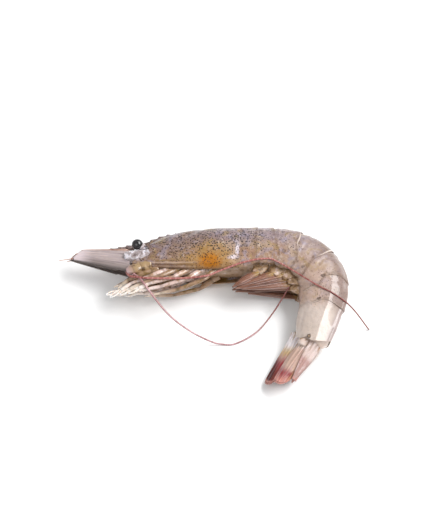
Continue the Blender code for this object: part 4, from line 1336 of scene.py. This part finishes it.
# A feeler hangs free over its first points, and sags a little between the places where it rests. Its
# middle stays this share of its radius off what is under it, as seen along a slope's normal
FEELER_FREE_POINTS = 20
FEELER_CLEAR = 0.8
STEEPEST_REST = 0.3
FEELER_SAG = 0.0025
SETTLING_PASSES = 3000


def surface_tree():
    """A tree of the faces of every piece made so far, to lay a feeler on."""
    bpy.context.view_layer.update()
    graph = bpy.context.evaluated_depsgraph_get()
    everything = bmesh.new()
    for piece in bpy.context.scene.objects:
        if piece.type == "MESH" and piece.name != "prawn":
            mesh = bpy.data.meshes.new_from_object(piece.evaluated_get(graph))
            everything.from_mesh(mesh)
            bpy.data.meshes.remove(mesh)
    tree = BVHTree.FromBMesh(everything)
    everything.free()
    return tree


def settle(flat_route, radii, root, tree):
    """The route with its heights: it leaves its root freely, then lies on the prawn and on the table."""
    support = [0.0] * FEELER_FREE_POINTS
    for point, radius in list(zip(flat_route, radii))[FEELER_FREE_POINTS:]:
        above = Vector((point.x, point.y, 60.0)) * MM
        hit, normal, _, _ = tree.ray_cast(above, -UP)
        on_table = radius * 0.95
        if hit:
            clear = radius * FEELER_CLEAR / max(abs(normal.z), STEEPEST_REST)
            support.append(max(on_table, hit.z / MM + clear))
        else:
            support.append(on_table)
    heights = [root.z] + support[1:]
    for _ in range(SETTLING_PASSES):
        for index in range(1, len(heights) - 1):
            hung = (heights[index - 1] + heights[index + 1]) / 2.0 - FEELER_SAG
            heights[index] = max(support[index], hung)
    return [Vector((point.x, point.y, height)) for point, height in zip(flat_route, heights)]


def make_feeler(side_name, side, corners, tree, material):
    """A long whip from the end of its root, over the body or over the table."""
    root = at(*PEDUNCLE[-1], side * FEELER_ROOT_OUT)
    shift = Vector(EYE_SOCKET) - Vector(FOOTPRINT_MIDDLE)
    flat = [Vector((x, y)) + shift for x, y in corners]
    flat[0] = Vector((root.x, root.y))
    route = smooth_route(flat, FEELER_POINTS)
    ends = (FEELER_ROOT_DIAMETER / 2.0, FEELER_TIP_DIAMETER / 2.0)
    taper = [between(ends, index / (FEELER_POINTS - 1)) for index in range(FEELER_POINTS)]
    bm = whip_solid(settle(route, taper, root, tree), taper, 10)
    return finish_piece(bm, f"feeler_{side_name}", material)


# Making ------------------------------------------------------------------------

make_flesh()
make_carapace()
for plate_index, (rear_edge, plate) in enumerate(zip(REAR_EDGES, TAIL_PLATES)):
    make_tail_plate(plate_index, rear_edge, *plate)
make_rostrum()
for side_name, side in SIDES:
    make_scale(side_name, side)
    make_scale_root(side_name, side)
    make_eye(side_name, side)
    make_antennule(side_name, side)
    make_peduncle(side_name, side)
    for leg_index, leg_row in enumerate(LEGS):
        make_leg(leg_index, side_name, side, leg_row)
    for swim_index in range(5):
        make_swimmeret(swim_index, side_name, side)
make_tail_fan()
lying_on = surface_tree()
make_feeler("left", 1.0, LEFT_FEELER, lying_on, FEELER_OVER)
make_feeler("right", -1.0, RIGHT_FEELER, lying_on, FEELER_UNDER)


# Room, light and camera --------------------------------------------------------


def make_floor():
    """A wide sheet of paper under the prawn."""
    bm = bmesh.new()
    bmesh.ops.create_grid(bm, x_segments=2, y_segments=2, size=FLOOR_SIZE / 2.0)
    bmesh.ops.translate(bm, vec=(0.0, 0.0, -FLOOR_GAP), verts=bm.verts)
    link_mesh(bm, "floor", FLOOR)


def stand(name, data, aim, azimuth, elevation, distance):
    """Stands a light or a camera so far from a point, at an angle around it and above the table."""
    turn, rise = math.radians(azimuth), math.radians(elevation)
    away = Vector((math.sin(turn) * math.cos(rise), -math.cos(turn) * math.cos(rise), math.sin(rise)))
    thing = bpy.data.objects.new(name, data)
    bpy.context.scene.collection.objects.link(thing)
    thing.location = (Vector(aim) + away * distance) * MM
    thing.rotation_euler = away.to_track_quat("Z", "Y").to_euler()
    return thing


def make_softbox(name, azimuth, elevation, distance, size, power):
    """A soft light of that size in millimetres, turned to the middle of the prawn."""
    light = bpy.data.lights.new(name, "AREA")
    light.shape = "RECTANGLE"
    light.size, light.size_y = size[0] * MM, size[1] * MM
    light.energy = power
    stand(name, light, (0.0, 0.0, 0.0), azimuth, elevation, distance)


def make_camera():
    """Looks down on the left flank, with the prawn's length level in view."""
    camera = bpy.data.cameras.new("camera")
    camera.lens = LENS
    camera.sensor_width = SENSOR
    camera.clip_start = 0.01
    distance = LENS / SENSOR * VIEW_HEIGHT
    bpy.context.scene.camera = stand("camera", camera, VIEW_MIDDLE, 0.0, VIEW_ELEVATION, distance)


def make_world():
    """An even white surround, as in a light tent."""
    world = bpy.data.worlds.new("light_tent")
    bpy.context.scene.world = world
    world.use_nodes = True
    background = world.node_tree.nodes["Background"]
    background.inputs["Color"].default_value = linear("#FFFFFF")
    background.inputs["Strength"].default_value = TENT_STRENGTH


make_floor()
make_world()
for softbox in SOFTBOXES:
    make_softbox(*softbox)
make_camera()
bpy.context.scene.view_settings.view_transform = "Standard"
